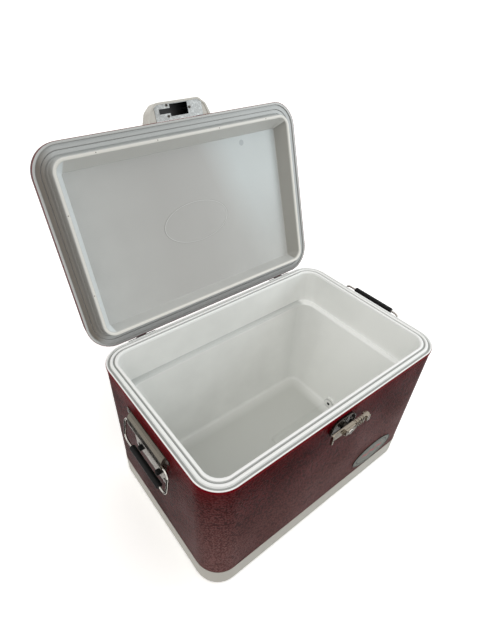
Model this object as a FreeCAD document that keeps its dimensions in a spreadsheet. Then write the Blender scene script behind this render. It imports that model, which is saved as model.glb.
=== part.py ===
import FreeCAD, Part
import math
import os
import Sketcher

Vector = FreeCAD.Vector
doc = FreeCAD.newDocument("cooler")

# ---------------------------------------------------------------- driving dimensions (mm, degrees)
# World frame: +X right along the long front, -Y front (latch side), +Z up,
# origin at the centre of the underside of the base tray.
DIMENSIONS = [
    # body
    ("shell_half_long", 299.6, "half length of the steel belt"),
    ("shell_half_deep", 196.6, "half depth of the steel belt"),
    ("shell_corner", 52.6, "corner radius of the steel belt"),
    ("shell_gauge", 0.8, "sheet thickness of belt and lid skin"),
    ("belt_in_tray", 10.0, "how far the belt reaches down inside the tray"),
    ("body_high", 350.2, "height of the body, to the top of the rolled bead"),
    ("bead_tall", 6.6, "height of the rolled bead"),
    ("bead_proud", 1.0, "how far the bead stands out of the belt"),
    ("bead_round", 0.9, "rounding of the bead"),
    ("tray_proud", 0.9, "how far the tray stands out of the belt"),
    ("tray_height", 50.0, "height of the base tray band"),
    ("tray_floor", 5.0, "thickness of the tray floor"),
    ("tray_wall", 3.6, "thickness of the tray wall below the belt seat"),
    ("tray_edge", 5.0, "rounding of the tray's bottom edge"),
    ("skid_inset", 26.0, "inset of the groove under the tray"),
    ("skid_width", 6.0, "width of the groove under the tray"),
    ("skid_depth", 1.5, "depth of the groove under the tray"),
    ("seat_gap", 0.1, "gap between parts that seat on each other"),
    # liner
    ("liner_floor", 30.0, "top of the liner floor"),
    ("floor_thick", 7.0, "thickness of the liner floor"),
    ("liner_wall", 3.0, "thickness of the liner walls"),
    ("draft_end", 38.0, "how much the end walls lean out from floor to ledge"),
    ("draft_side", 31.0, "how much the long walls lean out from floor to ledge"),
    ("low_corner", 30.0, "corner radius of the lower liner"),
    ("ledge_drop", 84.2, "inner ledge below the top of the body"),
    ("ledge_wide_end", 11.6, "width of the ledge at the ends"),
    ("ledge_wide_side", 12.0, "width of the ledge along the sides"),
    ("mouth_draft", 2.2, "how much the walls lean out above the ledge"),
    ("rim_wide_end", 22.8, "width of the rim at the ends"),
    ("rim_wide_side", 22.4, "width of the rim along the sides"),
    ("mouth_corner", 33.0, "corner radius of the mouth"),
    ("rim_drop", 3.7, "underside of the rim flange below the top of the body"),
    ("rim_thick", 2.0, "thickness of the rim flange"),
    ("ridge_rise", 3.5, "height of the two sealing ridges"),
    ("lip_thick", 0.75, "thickness of the outer lip over the bead"),
    ("rim_step_rise", 1.2, "rise from the outer groove to the groove between the ridges"),
    ("lip_wide", 2.5, "inner offset of the outer lip"),
    ("ridge_a_out", 8.0, "offset of the outer ridge, outer side"),
    ("ridge_a_in", 13.6, "offset of the outer ridge, inner side"),
    ("ridge_b_out", 17.0, "offset of the inner ridge, outer side"),
    ("ridge_round", 2.4, "rounding of the ridges"),
    ("floor_round", 9.0, "rounding between floor and walls"),
    ("ledge_round", 5.0, "rounding of the ledge"),
    ("trough_long", 195.0, "length of the drain trough"),
    ("trough_half_wide", 15.0, "half width of the drain trough"),
    ("trough_deep", 2.2, "depth of the drain trough"),
    ("trough_corner", 12.0, "corner radius of the drain trough"),
    ("trough_stop", 10.0, "how far the trough stops before the end wall"),
    ("trough_slope", 6.0, "width of the trough's slanted sides"),
    # foam
    ("foam_inset", 6.0, "how far the foam stays clear of the steel"),
    # drain
    ("drain_deep", -16.0, "front to back place of the drain axis"),
    ("drain_rise", 11.5, "height of the drain axis above the liner floor"),
    ("boss_proud", 3.0, "how far the drain boss stands into the chest at the floor"),
    ("drain_boss_radius", 16.0, "radius of the drain boss"),
    ("drain_boss_long", 9.5, "length of the drain boss"),
    ("flange_radius", 14.0, "radius of the drain spout flange"),
    ("flange_thick", 2.2, "thickness of the drain spout flange"),
    ("flange_round", 0.9, "rounding of the drain spout flange"),
    ("flange_clear", 0.6, "gap between the drain flange and the floor around it"),
    ("washer_thick", 1.0, "thickness of the drain washer"),
    ("washer_radius", 13.0, "outer radius of the drain washer"),
    ("spout_radius", 5.5, "outer radius of the drain tube"),
    ("spout_bore", 4.0, "bore radius of the drain tube"),
    ("spout_proud", 6.5, "how far the drain tube stands out of the tray"),
    ("hole_gap", 0.15, "radial gap where the tube passes walls"),
    ("nut_radius", 8.2, "outer radius of the drain nut"),
    ("nut_thick", 4.0, "thickness of the drain nut"),
    ("plug_radius", 7.6, "radius of the plug head"),
    ("plug_head", 6.0, "length of the plug head"),
    ("plug_round", 1.5, "rounding of the plug head"),
    ("plug_stem", 14.0, "length of the plug stem"),
    ("plug_fit", 0.05, "radial gap between plug stem and bore"),
    ("plug_stand_off", 0.3, "gap between plug head and tube end"),
    # badge
    ("badge_from_end", 139.6, "distance of the badge centre from the right end"),
    ("badge_rise", 38.5, "height of the badge centre above the tray"),
    ("badge_half_long", 66.0, "half length of the oval badge"),
    ("badge_half_high", 33.0, "half height of the oval badge"),
    ("badge_thick", 1.0, "thickness of the badge plate"),
    ("badge_rim_wide", 2.4, "width of the badge's raised rim"),
    ("badge_rim_high", 0.6, "height of the badge's raised rim"),
    # latch on the body
    ("latch_along", -5.0, "place of the latch pivot along the front"),
    ("latch_drop", 34.0, "latch pivot below the top of the body"),
    ("cup_half_long", 33.0, "half length of the latch cup"),
    ("cup_half_high", 23.0, "half height of the latch cup"),
    ("cup_flat", 0.4, "half height of the straight part of the cup ends"),
    ("cup_floor", 1.2, "thickness of the latch cup floor"),
    ("cup_rim_high", 4.6, "height of the latch cup rim"),
    ("cup_rim_wide", 2.4, "width of the latch cup rim"),
    ("cup_round", 0.9, "rounding of the latch cup rim"),
    ("post_radius", 8.5, "radius of the post under the lever"),
    ("post_high", 10.6, "height of the post under the lever"),
    ("lever_gap", 0.35, "axial gap on either side of the lever hub"),
    ("lever_thick", 6.0, "thickness of the lever neck"),
    ("lever_hub", 9.0, "radius of the lever hub"),
    ("lever_half_wide", 7.5, "half width of the lever neck"),
    ("lever_neck_end", 46.0, "radius where the lever head starts"),
    ("tip_gap", 7.0, "gap over the upright lever inside the hood"),
    ("head_half_wide", 7.5, "half width of the lever head"),
    ("head_half_thick", 6.5, "half thickness of the lever head"),
    ("rib_high", 1.4, "height of the thumb ribs"),
    ("rib_wide", 2.2, "width of the thumb ribs"),
    ("rib_first", 20.5, "radius of the first thumb rib"),
    ("rib_pitch", 6.4, "spacing of the thumb ribs"),
    ("rib_corner", 0.9, "corner radius of the thumb ribs"),
    ("block_half_long", 14.5, "half length of the raised block"),
    ("block_half_wide", 9.5, "half width of the raised block"),
    ("block_along", 2.0, "place of the raised block along the lever"),
    ("block_high", 3.0, "height of the raised block"),
    ("tab_reach", 42.0, "end of the finger tab, from the pivot"),
    ("tab_half_wide", 9.5, "half width of the finger tab"),
    ("tab_thick", 2.5, "thickness of the finger tab"),
    ("tab_lip", 5.0, "how far the finger tab's lip stands out"),
    ("tab_lip_wide", 3.5, "width of the finger tab's lip"),
    ("tab_lip_low", 14.0, "lower end of the finger tab's lip below the pivot"),
    ("pin_radius", 3.0, "radius of the lever pin"),
    ("pin_fit", 0.05, "radial gap between pins and their bores"),
    ("pin_head_radius", 6.0, "radius of the lever pin head"),
    ("pin_head_thick", 2.0, "thickness of the lever pin head"),
    ("pin_head_round", 1.0, "rounding of the lever pin head"),
    ("leaf_half_long", 7.0, "half length of the sprung keeper strip"),
    ("leaf_high", 12.4, "height of the keeper strip above the pivot"),
    ("leaf_tall", 7.8, "height of the keeper strip"),
    ("leaf_gauge", 3.0, "thickness of the keeper strip"),
    ("leaf_corner", 1.8, "corner radius of the keeper strip"),
    ("cup_screw_along", 26.3, "distance of the cup screws from the pivot"),
    # screws
    ("screw_head", 3.0, "radius of the small screw heads"),
    ("screw_head_thick", 1.4, "thickness of the small screw heads"),
    ("screw_shank", 1.3, "radius of the small screw shanks"),
    ("screw_reach", 4.5, "length of the small screw shanks"),
    ("drill_depth", 12.0, "depth of the drillings through the sheets"),
    # lid; its own frame is the hinge line, lid closed
    ("hinge_gap", 0.7, "gap between the knuckles and the rolled bead"),
    ("hinge_drop", 5.0, "hinge line below the top of the body"),
    ("lid_open_angle", 107.9, "angle of the opened lid"),
    ("lid_over_long", 1.4, "how much the lid is longer than the belt, each end"),
    ("lid_over_deep", 0.15, "how much the lid is deeper than the belt, each side"),
    ("lid_back", 1.9, "lid's back face in front of the hinge line"),
    ("lid_corner", 55.0, "corner radius of the lid"),
    ("lid_gap", 0.35, "gap between the shut lid and the outer lip"),
    ("lid_tall", 45.9, "height of the lid skin"),
    ("lid_lean", 7.3, "how much each end of the lid leans in from its edge to its top"),
    ("lid_round", 14.0, "rounding of the lid's top edge"),
    ("lid_skin_gap", 0.05, "gap between lid skin and lid pan"),
    ("band_wide", 5.0, "width of the pan's outer band"),
    ("step_wide", 14.0, "offset where the gasket groove starts"),
    ("step_rise", 2.3, "rise from the band to the step"),
    ("groove_rise", 4.3, "rise from the band to the gasket groove"),
    ("pan_flange", 7.5, "height of the pan flange above the lid's edge"),
    ("plug_clear_end", 5.3, "gap between plug ridge and mouth at the ends"),
    ("plug_clear_side", 3.9, "gap between plug ridge and mouth along the sides"),
    ("plug_corner", 27.0, "corner radius of the plug ridge"),
    ("plug_drop", 17.1, "how far the plug ridge hangs below the lid's edge"),
    ("plug_draft", 2.0, "how much the plug ridge widens toward its foot"),
    ("plug_foot_round", 2.4, "rounding at the plug ridge's foot"),
    ("plug_shift", 2.0, "how far the plug ridge lies nearer the hinge than the mouth's middle"),
    ("crest_flat", 0.5, "width of the flat left along the plug ridge crest"),
    ("crest_round", 2.9, "rounding of the plug ridge crest"),
    ("panel_in_end", 22.5, "inset of the recessed panel at the ends"),
    ("panel_in_side", 20.2, "inset of the recessed panel along the sides"),
    ("panel_corner", 4.0, "corner radius of the recessed panel"),
    ("panel_rise", 13.8, "panel above the lid's edge"),
    ("panel_round", 1.2, "rounding where the panel meets its walls"),
    ("panel_shift", 6.0, "how far the panel lies nearer the hinge than the plug ridge's middle"),
    ("pan_wall", 3.0, "wall thickness of the pan"),
    ("emblem_half_long", 82.0, "half length of the plain oval ring"),
    ("emblem_half_deep", 42.0, "half depth of the plain oval ring"),
    ("emblem_wide", 2.0, "width of the plain oval ring"),
    ("emblem_high", 0.5, "height of the plain oval ring"),
    ("emblem_along", 4.0, "place of the plain oval ring along the lid"),
    ("lid_foam_inset", 7.0, "how far the lid foam stays clear of the skin"),
    ("lid_foam_gap", 0.2, "gap between the lid foam and the skin above it"),
    ("lid_foam_round", 9.0, "rounding of the lid foam's top edge"),
    ("gasket_out", 15.5, "offset of the gasket's outer side"),
    ("gasket_in", 21.8, "offset of the gasket's inner side"),
    ("gasket_gap", 0.6, "gap between gasket and sealing ridge, lid shut"),
    # latch hood on the lid
    ("hood_shift", 9.0, "how far the hood centre lies right of the lever pivot"),
    ("hood_half_base", 72.0, "half width of the hood at the lid"),
    ("hood_half_tip", 48.0, "half width of the hood's front edge"),
    ("hood_knee", 64.0, "half width of the hood at its knee"),
    ("hood_knee_out", 20.0, "distance of the knee from the lid"),
    ("hood_out", 33.0, "overhang of the hood"),
    ("hood_tall", 29.9, "height of the hood"),
    ("hood_wall", 2.4, "wall thickness of the hood"),
    ("hood_lip", 3.8, "width of the hood's front and side lip"),
    ("hood_corner", 15.0, "rounding of the hood's upright edges"),
    ("hood_round", 6.0, "rounding of the hood's top edge"),
    ("plate_left", -52.5, "left end of the hood plate from the hood centre"),
    ("plate_right", 54.0, "right end of the hood plate from the hood centre"),
    ("plate_gap", 0.15, "gap between the hood plate and the hood's front lip"),
    ("plate_bearing", 1.5, "how far the hood plate's ends rest on the hood"),
    ("plate_back", 0.3, "back edge of the hood plate from the lid"),
    ("plate_rise", 0.6, "hood plate above the hood's lower edge"),
    ("plate_thick", 1.2, "thickness of the hood plate"),
    ("window_left", -19.0, "left end of the window from the hood centre"),
    ("window_right", 21.0, "right end of the window from the hood centre"),
    ("window_near", 6.5, "near edge of the window from the lid"),
    ("window_far", 28.0, "far edge of the window from the lid"),
    ("slit_left", -43.0, "left end of the narrow slit from the hood centre"),
    ("slit_gap", 0.8, "gap between the lever neck and the slit, each side"),
    ("hood_post", 2.2, "radius of the posts for the plate screws"),
    ("plate_screw_head", 2.3, "radius of the plate screw heads"),
    ("post_screw_deep", 5.5, "depth of the screw holes in the hood posts"),
    ("post_near_along", -24.5, "screw near the lid, from the hood centre"),
    ("post_near_out", 7.2, "screw near the lid, out from the lid"),
    ("post_far_along", -25.0, "screw at the front edge, from the hood centre"),
    ("post_far_out", 26.4, "screw at the front edge, out from the lid"),
    ("post_side_along", 25.0, "screw at the right, from the hood centre"),
    ("post_side_out", 17.5, "screw at the right, out from the lid"),
    # hinges
    ("hinge_from_end", 104.1, "distance of each hinge from its end of the belt"),
    ("leaf_half_wide", 30.5, "half width of a hinge"),
    ("knuckle_split", 11.7, "half width of the lid's knuckle"),
    ("knuckle_gap", 0.6, "gap between the knuckles"),
    ("knuckle_radius", 2.6, "outer radius of the knuckles"),
    ("hinge_pin_radius", 1.5, "radius of the hinge pins"),
    ("hinge_pin_head", 2.4, "radius of the hinge pin heads"),
    ("hinge_pin_head_thick", 1.2, "thickness of the hinge pin heads"),
    ("leaf_thick", 1.0, "thickness of the hinge leaves"),
    ("leaf_drop", 42.0, "length of the body leaf below the hinge line"),
    ("leaf_neck", 10.0, "start of the body leaf's neck below the hinge line"),
    ("leaf_under_bead", 2.6, "top of the body leaf below the rolled bead"),
    ("neck_bite", 1.7, "how far the necks reach into the knuckles"),
    ("lid_leaf_top", 40.0, "top of the lid leaf above the hinge line"),
    ("lid_leaf_rise", 1.3, "foot of the lid leaf above the lid edge"),
    ("hinge_screw_spread", 21.0, "distance of the outer hinge screws"),
    ("hinge_screw_drop", 25.2, "body hinge screws below the hinge line"),
    ("hinge_screw_rise", 24.0, "lid hinge screws above the hinge line"),
    # handles
    ("handle_drop", 65.2, "handle pivots below the top of the body"),
    ("pivot_out", 7.4, "handle pivot out of the belt face"),
    ("plate_gauge", 1.5, "thickness of the handle plate"),
    ("plate_half_foot", 59.0, "half width of the handle plate's foot"),
    ("plate_half_head", 63.0, "half width of the handle plate's head"),
    ("plate_half_ear", 76.0, "half width over the plate's ears"),
    ("plate_drop", 71.0, "foot of the handle plate below the pivot"),
    ("plate_top", 27.0, "top of the handle plate above the pivot"),
    ("ear_low", 14.0, "lower edge of the ears above the pivot"),
    ("ear_slope", 4.0, "rise of the ears' slanted lower edge"),
    ("cowl_half", 62.0, "half length of the cowl over the rod"),
    ("cowl_out", 12.0, "how far the cowl stands out"),
    ("cowl_top", 25.5, "top of the cowl above the pivot"),
    ("cowl_shoulder_out", 5.5, "cowl shoulder out of the belt face"),
    ("cowl_shoulder_high", 24.0, "cowl shoulder above the pivot"),
    ("cowl_brow_out", 10.2, "cowl brow out of the belt face"),
    ("cowl_brow_high", 16.0, "cowl brow above the pivot"),
    ("barrel_radius", 4.6, "outer radius of the cowl's lower roll"),
    ("cowl_round", 4.1, "rounding of the cowl's folds"),
    ("rod_radius", 2.5, "radius of the handle rod"),
    ("rod_inner", 48.0, "rod end inside the cowl"),
    ("rod_half_wide", 79.0, "half width of the handle rod"),
    ("rod_bend", 13.0, "bend radius of the handle rod"),
    ("rod_drop", 60.0, "distance from the pivot to the grip"),
    ("grip_radius", 6.5, "radius of the grip"),
    ("grip_half_long", 53.0, "half length of the grip"),
    ("grip_shift", -3.5, "grip shifted toward the front"),
    ("grip_round", 1.6, "rounding of the grip ends"),
    ("left_angle", 8.6, "left handle, angle out from hanging"),
    ("right_angle", 172.5, "right handle, angle out from hanging"),
    ("bumper_along", 33.0, "distance of the bumpers from the middle"),
    ("bumper_drop", 52.0, "bumpers below the pivot"),
    ("bumper_radius", 6.0, "radius of the bumpers"),
    ("bumper_high", 8.2, "height of the bumpers"),
    ("bumper_round", 1.8, "rounding of the bumpers"),
    ("rivet_foot_along", 49.0, "distance of the lower rivets"),
    ("rivet_foot_drop", 62.0, "lower rivets below the pivot"),
    ("rivet_ear_along", 69.0, "distance of the upper rivets"),
    ("rivet_ear_high", 20.5, "upper rivets above the pivot"),
    ("rivet_head", 3.8, "radius of the rivet heads"),
    ("rivet_head_thick", 1.6, "thickness of the rivet heads"),
    ("rivet_shank", 2.0, "radius of the rivet shanks"),
    ("rivet_reach", 4.5, "length of the rivet shanks"),
]

sheet = doc.addObject("Spreadsheet::Sheet", "Sheet")
for row, (alias, number, meaning) in enumerate(DIMENSIONS, start=1):
    sheet.set("A%d" % row, meaning)
    sheet.set("B%d" % row, str(number))
    sheet.setAlias("B%d" % row, alias)
doc.recompute()


class Dim:
    """A length or angle: its expression on the sheet and its present value."""

    def __init__(self, text, value):
        self.text = text
        self.value = value

    def __add__(self, other):
        other = dim(other)
        return Dim("(%s + %s)" % (self.text, other.text), self.value + other.value)

    def __sub__(self, other):
        other = dim(other)
        return Dim("(%s - %s)" % (self.text, other.text), self.value - other.value)

    def __mul__(self, other):
        other = dim(other)
        return Dim("(%s * %s)" % (self.text, other.text), self.value * other.value)

    def __truediv__(self, other):
        other = dim(other)
        return Dim("(%s / %s)" % (self.text, other.text), self.value / other.value)

    def __neg__(self):
        return Dim("(0 - %s)" % self.text, -self.value)


def dim(number):
    """Wrap a plain number; a Dim passes through."""
    if isinstance(number, Dim):
        return number
    return Dim("%.6g" % number if number >= 0 else "(0 - %.6g)" % -number, float(number))


def cosine(angle):
    return Dim("cos(%s * 1 deg)" % angle.text, math.cos(math.radians(angle.value)))


def sine(angle):
    return Dim("sin(%s * 1 deg)" % angle.text, math.sin(math.radians(angle.value)))


S = {alias: Dim("Sheet.%s" % alias, number) for alias, number, meaning in DIMENSIONS}
ZERO = dim(0)
QUARTER = dim(90)  # degrees
SIXTH = dim(60)
RIB_COUNT = 4  # thumb ribs on the lever

# ---------------------------------------------------------------- sizes that follow from others
S["shell_foot"] = S["tray_height"] - S["belt_in_tray"]
S["bead_high"] = S["body_high"]
S["bead_low"] = S["body_high"] - S["bead_tall"]
S["rim_under"] = S["body_high"] - S["rim_drop"]
S["rim_groove_high"] = S["rim_under"] + S["rim_thick"]
S["rim_mid_high"] = S["rim_groove_high"] + S["rim_step_rise"]
S["rim_top"] = S["rim_mid_high"] + S["ridge_rise"]
S["rim_lip_high"] = S["bead_high"] + S["lip_thick"]
S["foam_top"] = S["rim_under"] - S["seat_gap"]
S["mouth_half_long"] = S["shell_half_long"] - S["rim_wide_end"]
S["mouth_half_deep"] = S["shell_half_deep"] - S["rim_wide_side"]
S["above_half_long"] = S["mouth_half_long"] - S["mouth_draft"]
S["above_half_deep"] = S["mouth_half_deep"] - S["mouth_draft"]
S["ledge_half_long"] = S["above_half_long"] - S["ledge_wide_end"]
S["ledge_half_deep"] = S["above_half_deep"] - S["ledge_wide_side"]
S["floor_half_long"] = S["ledge_half_long"] - S["draft_end"]
S["floor_half_deep"] = S["ledge_half_deep"] - S["draft_side"]
S["ledge_height"] = S["body_high"] - S["ledge_drop"]
S["drain_face"] = S["floor_half_long"] - S["boss_proud"]
S["drain_high"] = S["liner_floor"] + S["drain_rise"]
S["spout_end"] = S["shell_half_long"] + S["tray_proud"] + S["spout_proud"]
S["badge_along"] = S["shell_half_long"] - S["badge_from_end"]
S["badge_high"] = S["tray_height"] + S["badge_rise"]
S["latch_high"] = S["body_high"] - S["latch_drop"]
S["cup_corner"] = S["cup_half_high"] - S["cup_flat"]
S["handle_high"] = S["body_high"] - S["handle_drop"]
S["hinge_along"] = S["shell_half_long"] - S["hinge_from_end"]
S["hinge_deep"] = S["shell_half_deep"] + S["bead_proud"] + S["knuckle_radius"] + S["hinge_gap"]
S["hinge_high"] = S["body_high"] - S["hinge_drop"]
S["leaf_head"] = S["hinge_high"] - S["bead_low"] + S["leaf_under_bead"]
S["lid_half_long"] = S["shell_half_long"] + S["lid_over_long"]
S["lid_half_deep"] = S["shell_half_deep"] + S["lid_over_deep"]
S["lid_edge"] = S["rim_lip_high"] + S["lid_gap"] - S["hinge_high"]
S["lid_high"] = S["lid_edge"] + S["lid_tall"]
S["lid_foam_top"] = S["lid_high"] - S["shell_gauge"] - S["lid_foam_gap"]
S["lid_leaf_foot"] = S["lid_edge"] + S["lid_leaf_rise"]
S["crest_wide"] = S["crest_round"] * 2 + S["crest_flat"]
S["plug_half_long"] = S["mouth_half_long"] - S["plug_clear_end"]
S["plug_half_deep"] = S["mouth_half_deep"] - S["plug_clear_side"]
S["panel_half_long"] = S["plug_half_long"] - S["panel_in_end"]
S["panel_half_deep"] = S["plug_half_deep"] - S["panel_in_side"]
S["hood_along"] = S["latch_along"] + S["hood_shift"]
S["hood_under"] = S["lid_edge"]
S["hood_high"] = S["hood_under"] + S["hood_tall"]
S["lever_tip"] = S["hinge_high"] + S["hood_high"] - S["hood_wall"] - S["tip_gap"] - S["latch_high"]


def bind(thing, prop, size):
    """Drive one property of an object from the sheet."""
    thing.setExpression(prop, size.text)


def place(thing, x=ZERO, y=ZERO, z=ZERO, axis=None, angle=None):
    """Put a node in the world; every coordinate is driven from the sheet."""
    x, y, z = dim(x), dim(y), dim(z)
    turn = FreeCAD.Rotation()
    if axis is not None:
        turn = FreeCAD.Rotation(axis, angle.value)
    thing.Placement = FreeCAD.Placement(Vector(x.value, y.value, z.value), turn)
    if axis is not None:
        bind(thing, "Placement.Rotation.Angle", angle)
    bind(thing, "Placement.Base.x", x)
    bind(thing, "Placement.Base.y", y)
    bind(thing, "Placement.Base.z", z)


def new_body(label):
    body = doc.addObject("PartDesign::Body", label)
    body.Label = label
    return body


def sketch_on(body, name, plane, offset=None):
    """A sketch on one of the body's own origin planes, moved along its normal."""
    sketch = body.newObject("Sketcher::SketchObject", name)
    base = [feature for feature in body.Origin.OriginFeatures if feature.Role == plane][0]
    sketch.AttachmentSupport = [(base, "")]
    sketch.MapMode = "FlatFace"
    if offset is not None:
        offset = dim(offset)
        sketch.AttachmentOffset = FreeCAD.Placement(Vector(0, 0, offset.value), FreeCAD.Rotation())
        bind(sketch, "AttachmentOffset.Base.z", offset)
    return sketch


def fix_coordinate(sketch, kind, geometry, point, size):
    """Hold one point's distance from the sketch origin at a sheet value."""
    if abs(size.value) < 1e-9 and size.text == "0":
        axis = -2 if kind == "DistanceX" else -1
        sketch.addConstraint(Sketcher.Constraint("PointOnObject", geometry, point, axis))
        return
    index = sketch.addConstraint(Sketcher.Constraint(kind, -1, 1, geometry, point, size.value))
    bind(sketch, "Constraints[%d]" % index, size)


def draw_polygon(sketch, points):
    """A closed outline through the given points."""
    points = [(dim(x), dim(y)) for x, y in points]
    first = sketch.GeometryCount
    count = len(points)
    for i in range(count):
        a, b = points[i], points[(i + 1) % count]
        line = Part.LineSegment(Vector(a[0].value, a[1].value, 0), Vector(b[0].value, b[1].value, 0))
        sketch.addGeometry(line, False)
    for i in range(count):
        following = first + (i + 1) % count
        sketch.addConstraint(Sketcher.Constraint("Coincident", first + i, 2, following, 1))
    for i in range(count):
        fix_coordinate(sketch, "DistanceX", first + i, 1, points[i][0])
        fix_coordinate(sketch, "DistanceY", first + i, 1, points[i][1])


def draw_rounded(sketch, half_x, half_y, corner, mid_x=ZERO, mid_y=ZERO):
    """A rectangle with equal round corners."""
    half_x, half_y, corner = dim(half_x), dim(half_y), dim(corner)
    mid_x, mid_y = dim(mid_x), dim(mid_y)
    x0, x1 = (mid_x - half_x).value, (mid_x + half_x).value
    y0, y1 = (mid_y - half_y).value, (mid_y + half_y).value
    r = corner.value
    n = sketch.GeometryCount
    normal = Vector(0, 0, 1)

    def arc(cx, cy, start):
        circle = Part.Circle(Vector(cx, cy, 0), normal, r)
        return Part.ArcOfCircle(circle, math.radians(start), math.radians(start + 90))

    pieces = [
        Part.LineSegment(Vector(x0 + r, y0, 0), Vector(x1 - r, y0, 0)),
        arc(x1 - r, y0 + r, -90),
        Part.LineSegment(Vector(x1, y0 + r, 0), Vector(x1, y1 - r, 0)),
        arc(x1 - r, y1 - r, 0),
        Part.LineSegment(Vector(x1 - r, y1, 0), Vector(x0 + r, y1, 0)),
        arc(x0 + r, y1 - r, 90),
        Part.LineSegment(Vector(x0, y1 - r, 0), Vector(x0, y0 + r, 0)),
        arc(x0 + r, y0 + r, 180),
    ]
    for piece in pieces:
        sketch.addGeometry(piece, False)
    for i in range(8):
        sketch.addConstraint(Sketcher.Constraint("Tangent", n + i, 2, n + (i + 1) % 8, 1))
    for i in (0, 4):
        sketch.addConstraint(Sketcher.Constraint("Horizontal", n + i))
    for i in (2, 6):
        sketch.addConstraint(Sketcher.Constraint("Vertical", n + i))
    for i in (3, 5, 7):
        sketch.addConstraint(Sketcher.Constraint("Equal", n + 1, n + i))
    index = sketch.addConstraint(Sketcher.Constraint("Radius", n + 1, r))
    bind(sketch, "Constraints[%d]" % index, corner)
    fix_coordinate(sketch, "DistanceY", n, 1, mid_y - half_y)
    fix_coordinate(sketch, "DistanceX", n + 2, 1, mid_x + half_x)
    fix_coordinate(sketch, "DistanceY", n + 4, 1, mid_y + half_y)
    fix_coordinate(sketch, "DistanceX", n + 6, 1, mid_x - half_x)


def draw_circle(sketch, mid_x, mid_y, radius):
    mid_x, mid_y, radius = dim(mid_x), dim(mid_y), dim(radius)
    n = sketch.GeometryCount
    centre = Vector(mid_x.value, mid_y.value, 0)
    sketch.addGeometry(Part.Circle(centre, Vector(0, 0, 1), radius.value), False)
    index = sketch.addConstraint(Sketcher.Constraint("Radius", n, radius.value))
    bind(sketch, "Constraints[%d]" % index, radius)
    fix_coordinate(sketch, "DistanceX", n, 3, mid_x)
    fix_coordinate(sketch, "DistanceY", n, 3, mid_y)


def pad(body, name, sketch, length, reverse=False):
    feature = body.newObject("PartDesign::Pad", name)
    feature.Profile = sketch
    feature.Length = dim(length).value
    bind(feature, "Length", dim(length))
    feature.Reversed = reverse
    body.Tip = feature
    doc.recompute()
    return feature


def pocket(body, name, sketch, length, reverse=False):
    """Cut; the faces and the volume are compared so that a cut the wrong way is turned round."""
    faces, volume = len(body.Shape.Faces), body.Shape.Volume

    def nothing_cut():
        return len(body.Shape.Faces) == faces and body.Shape.Volume > volume - 1e-3

    feature = body.newObject("PartDesign::Pocket", name)
    feature.Profile = sketch
    feature.Length = dim(length).value
    bind(feature, "Length", dim(length))
    feature.Reversed = reverse
    body.Tip = feature
    doc.recompute()
    if nothing_cut():
        feature.Reversed = not reverse
        doc.recompute()
    if nothing_cut():
        raise RuntimeError("the cut %s removed nothing" % name)
    return feature


def loft(body, name, first, second, cut=False):
    kind = "PartDesign::SubtractiveLoft" if cut else "PartDesign::AdditiveLoft"
    feature = body.newObject(kind, name)
    feature.Profile = first
    feature.Sections = [second]
    feature.Ruled = True
    body.Tip = feature
    doc.recompute()
    return feature


def edges_where(shape, test):
    """Names of the edges whose every end and middle point passes the test."""
    names = []
    for i, edge in enumerate(shape.Edges, start=1):
        middle = edge.valueAt((edge.FirstParameter + edge.LastParameter) / 2)
        points = [vertex.Point for vertex in edge.Vertexes] + [middle]
        if all(test(point) for point in points):
            names.append("Edge%d" % i)
    return names


def fillet(body, name, radius, test):
    """Round the edges that pass the test."""
    base = body.Tip
    names = edges_where(base.Shape, test)
    if not names:
        raise RuntimeError("no edge to round for %s" % name)
    feature = body.newObject("PartDesign::Fillet", name)
    feature.Base = (base, names)
    feature.Radius = dim(radius).value
    bind(feature, "Radius", dim(radius))
    body.Tip = feature
    doc.recompute()
    return feature


NEAR = 1e-3


def at_height(height):
    return lambda point: abs(point.z - height.value) < NEAR


def cylinder(name, radius, height, x, y, z, axis=None, turn=0):
    """A plain cylinder placed by the sheet, its axis turned from +Z when asked."""
    part = doc.addObject("Part::Cylinder", name)
    part.Radius = dim(radius).value
    part.Height = dim(height).value
    bind(part, "Radius", dim(radius))
    bind(part, "Height", dim(height))
    x, y, z = dim(x), dim(y), dim(z)
    rotation = FreeCAD.Rotation() if axis is None else FreeCAD.Rotation(axis, turn)
    part.Placement = FreeCAD.Placement(Vector(x.value, y.value, z.value), rotation)
    bind(part, "Placement.Base.x", x)
    bind(part, "Placement.Base.y", y)
    bind(part, "Placement.Base.z", z)
    return part


def compound(label, members):
    group = doc.addObject("Part::Compound", label)
    group.Label = label
    group.Links = members
    doc.recompute()
    return group


def round_head_fastener(name, x, y, z, axis, turn, sizes):
    """Head standing out along the turned axis, shank reaching back from the head's seat."""
    head_radius, head_thick, shank_radius, reach = sizes
    out = FreeCAD.Rotation(axis, turn).multVec(Vector(0, 0, 1))
    head = cylinder(name + "_head", head_radius, head_thick, x, y, z, axis, turn)
    steps = [dim(0) if abs(part) < 0.5 else (reach if part > 0 else -reach) for part in out]
    shank_x = dim(x) - steps[0]
    shank_y = dim(y) - steps[1]
    shank_z = dim(z) - steps[2]
    shank = cylinder(name + "_shank", shank_radius, reach, shank_x, shank_y, shank_z, axis, turn)
    whole = doc.addObject("Part::Fuse", name)
    whole.Base = head
    whole.Tool = shank
    return whole


def oval(name, half_long, half_high, thick):
    """An oval plate in the XY plane, thickness along +Z."""
    ellipse = doc.addObject("Part::Ellipse", name + "_line")
    bind(ellipse, "MajorRadius", half_long)
    bind(ellipse, "MinorRadius", half_high)
    plate = doc.addObject("Part::Extrusion", name)
    plate.Base = ellipse
    plate.DirMode = "Custom"
    plate.Dir = Vector(0, 0, 1)
    plate.Solid = True
    bind(plate, "LengthFwd", thick)
    doc.recompute()
    return plate


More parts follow.
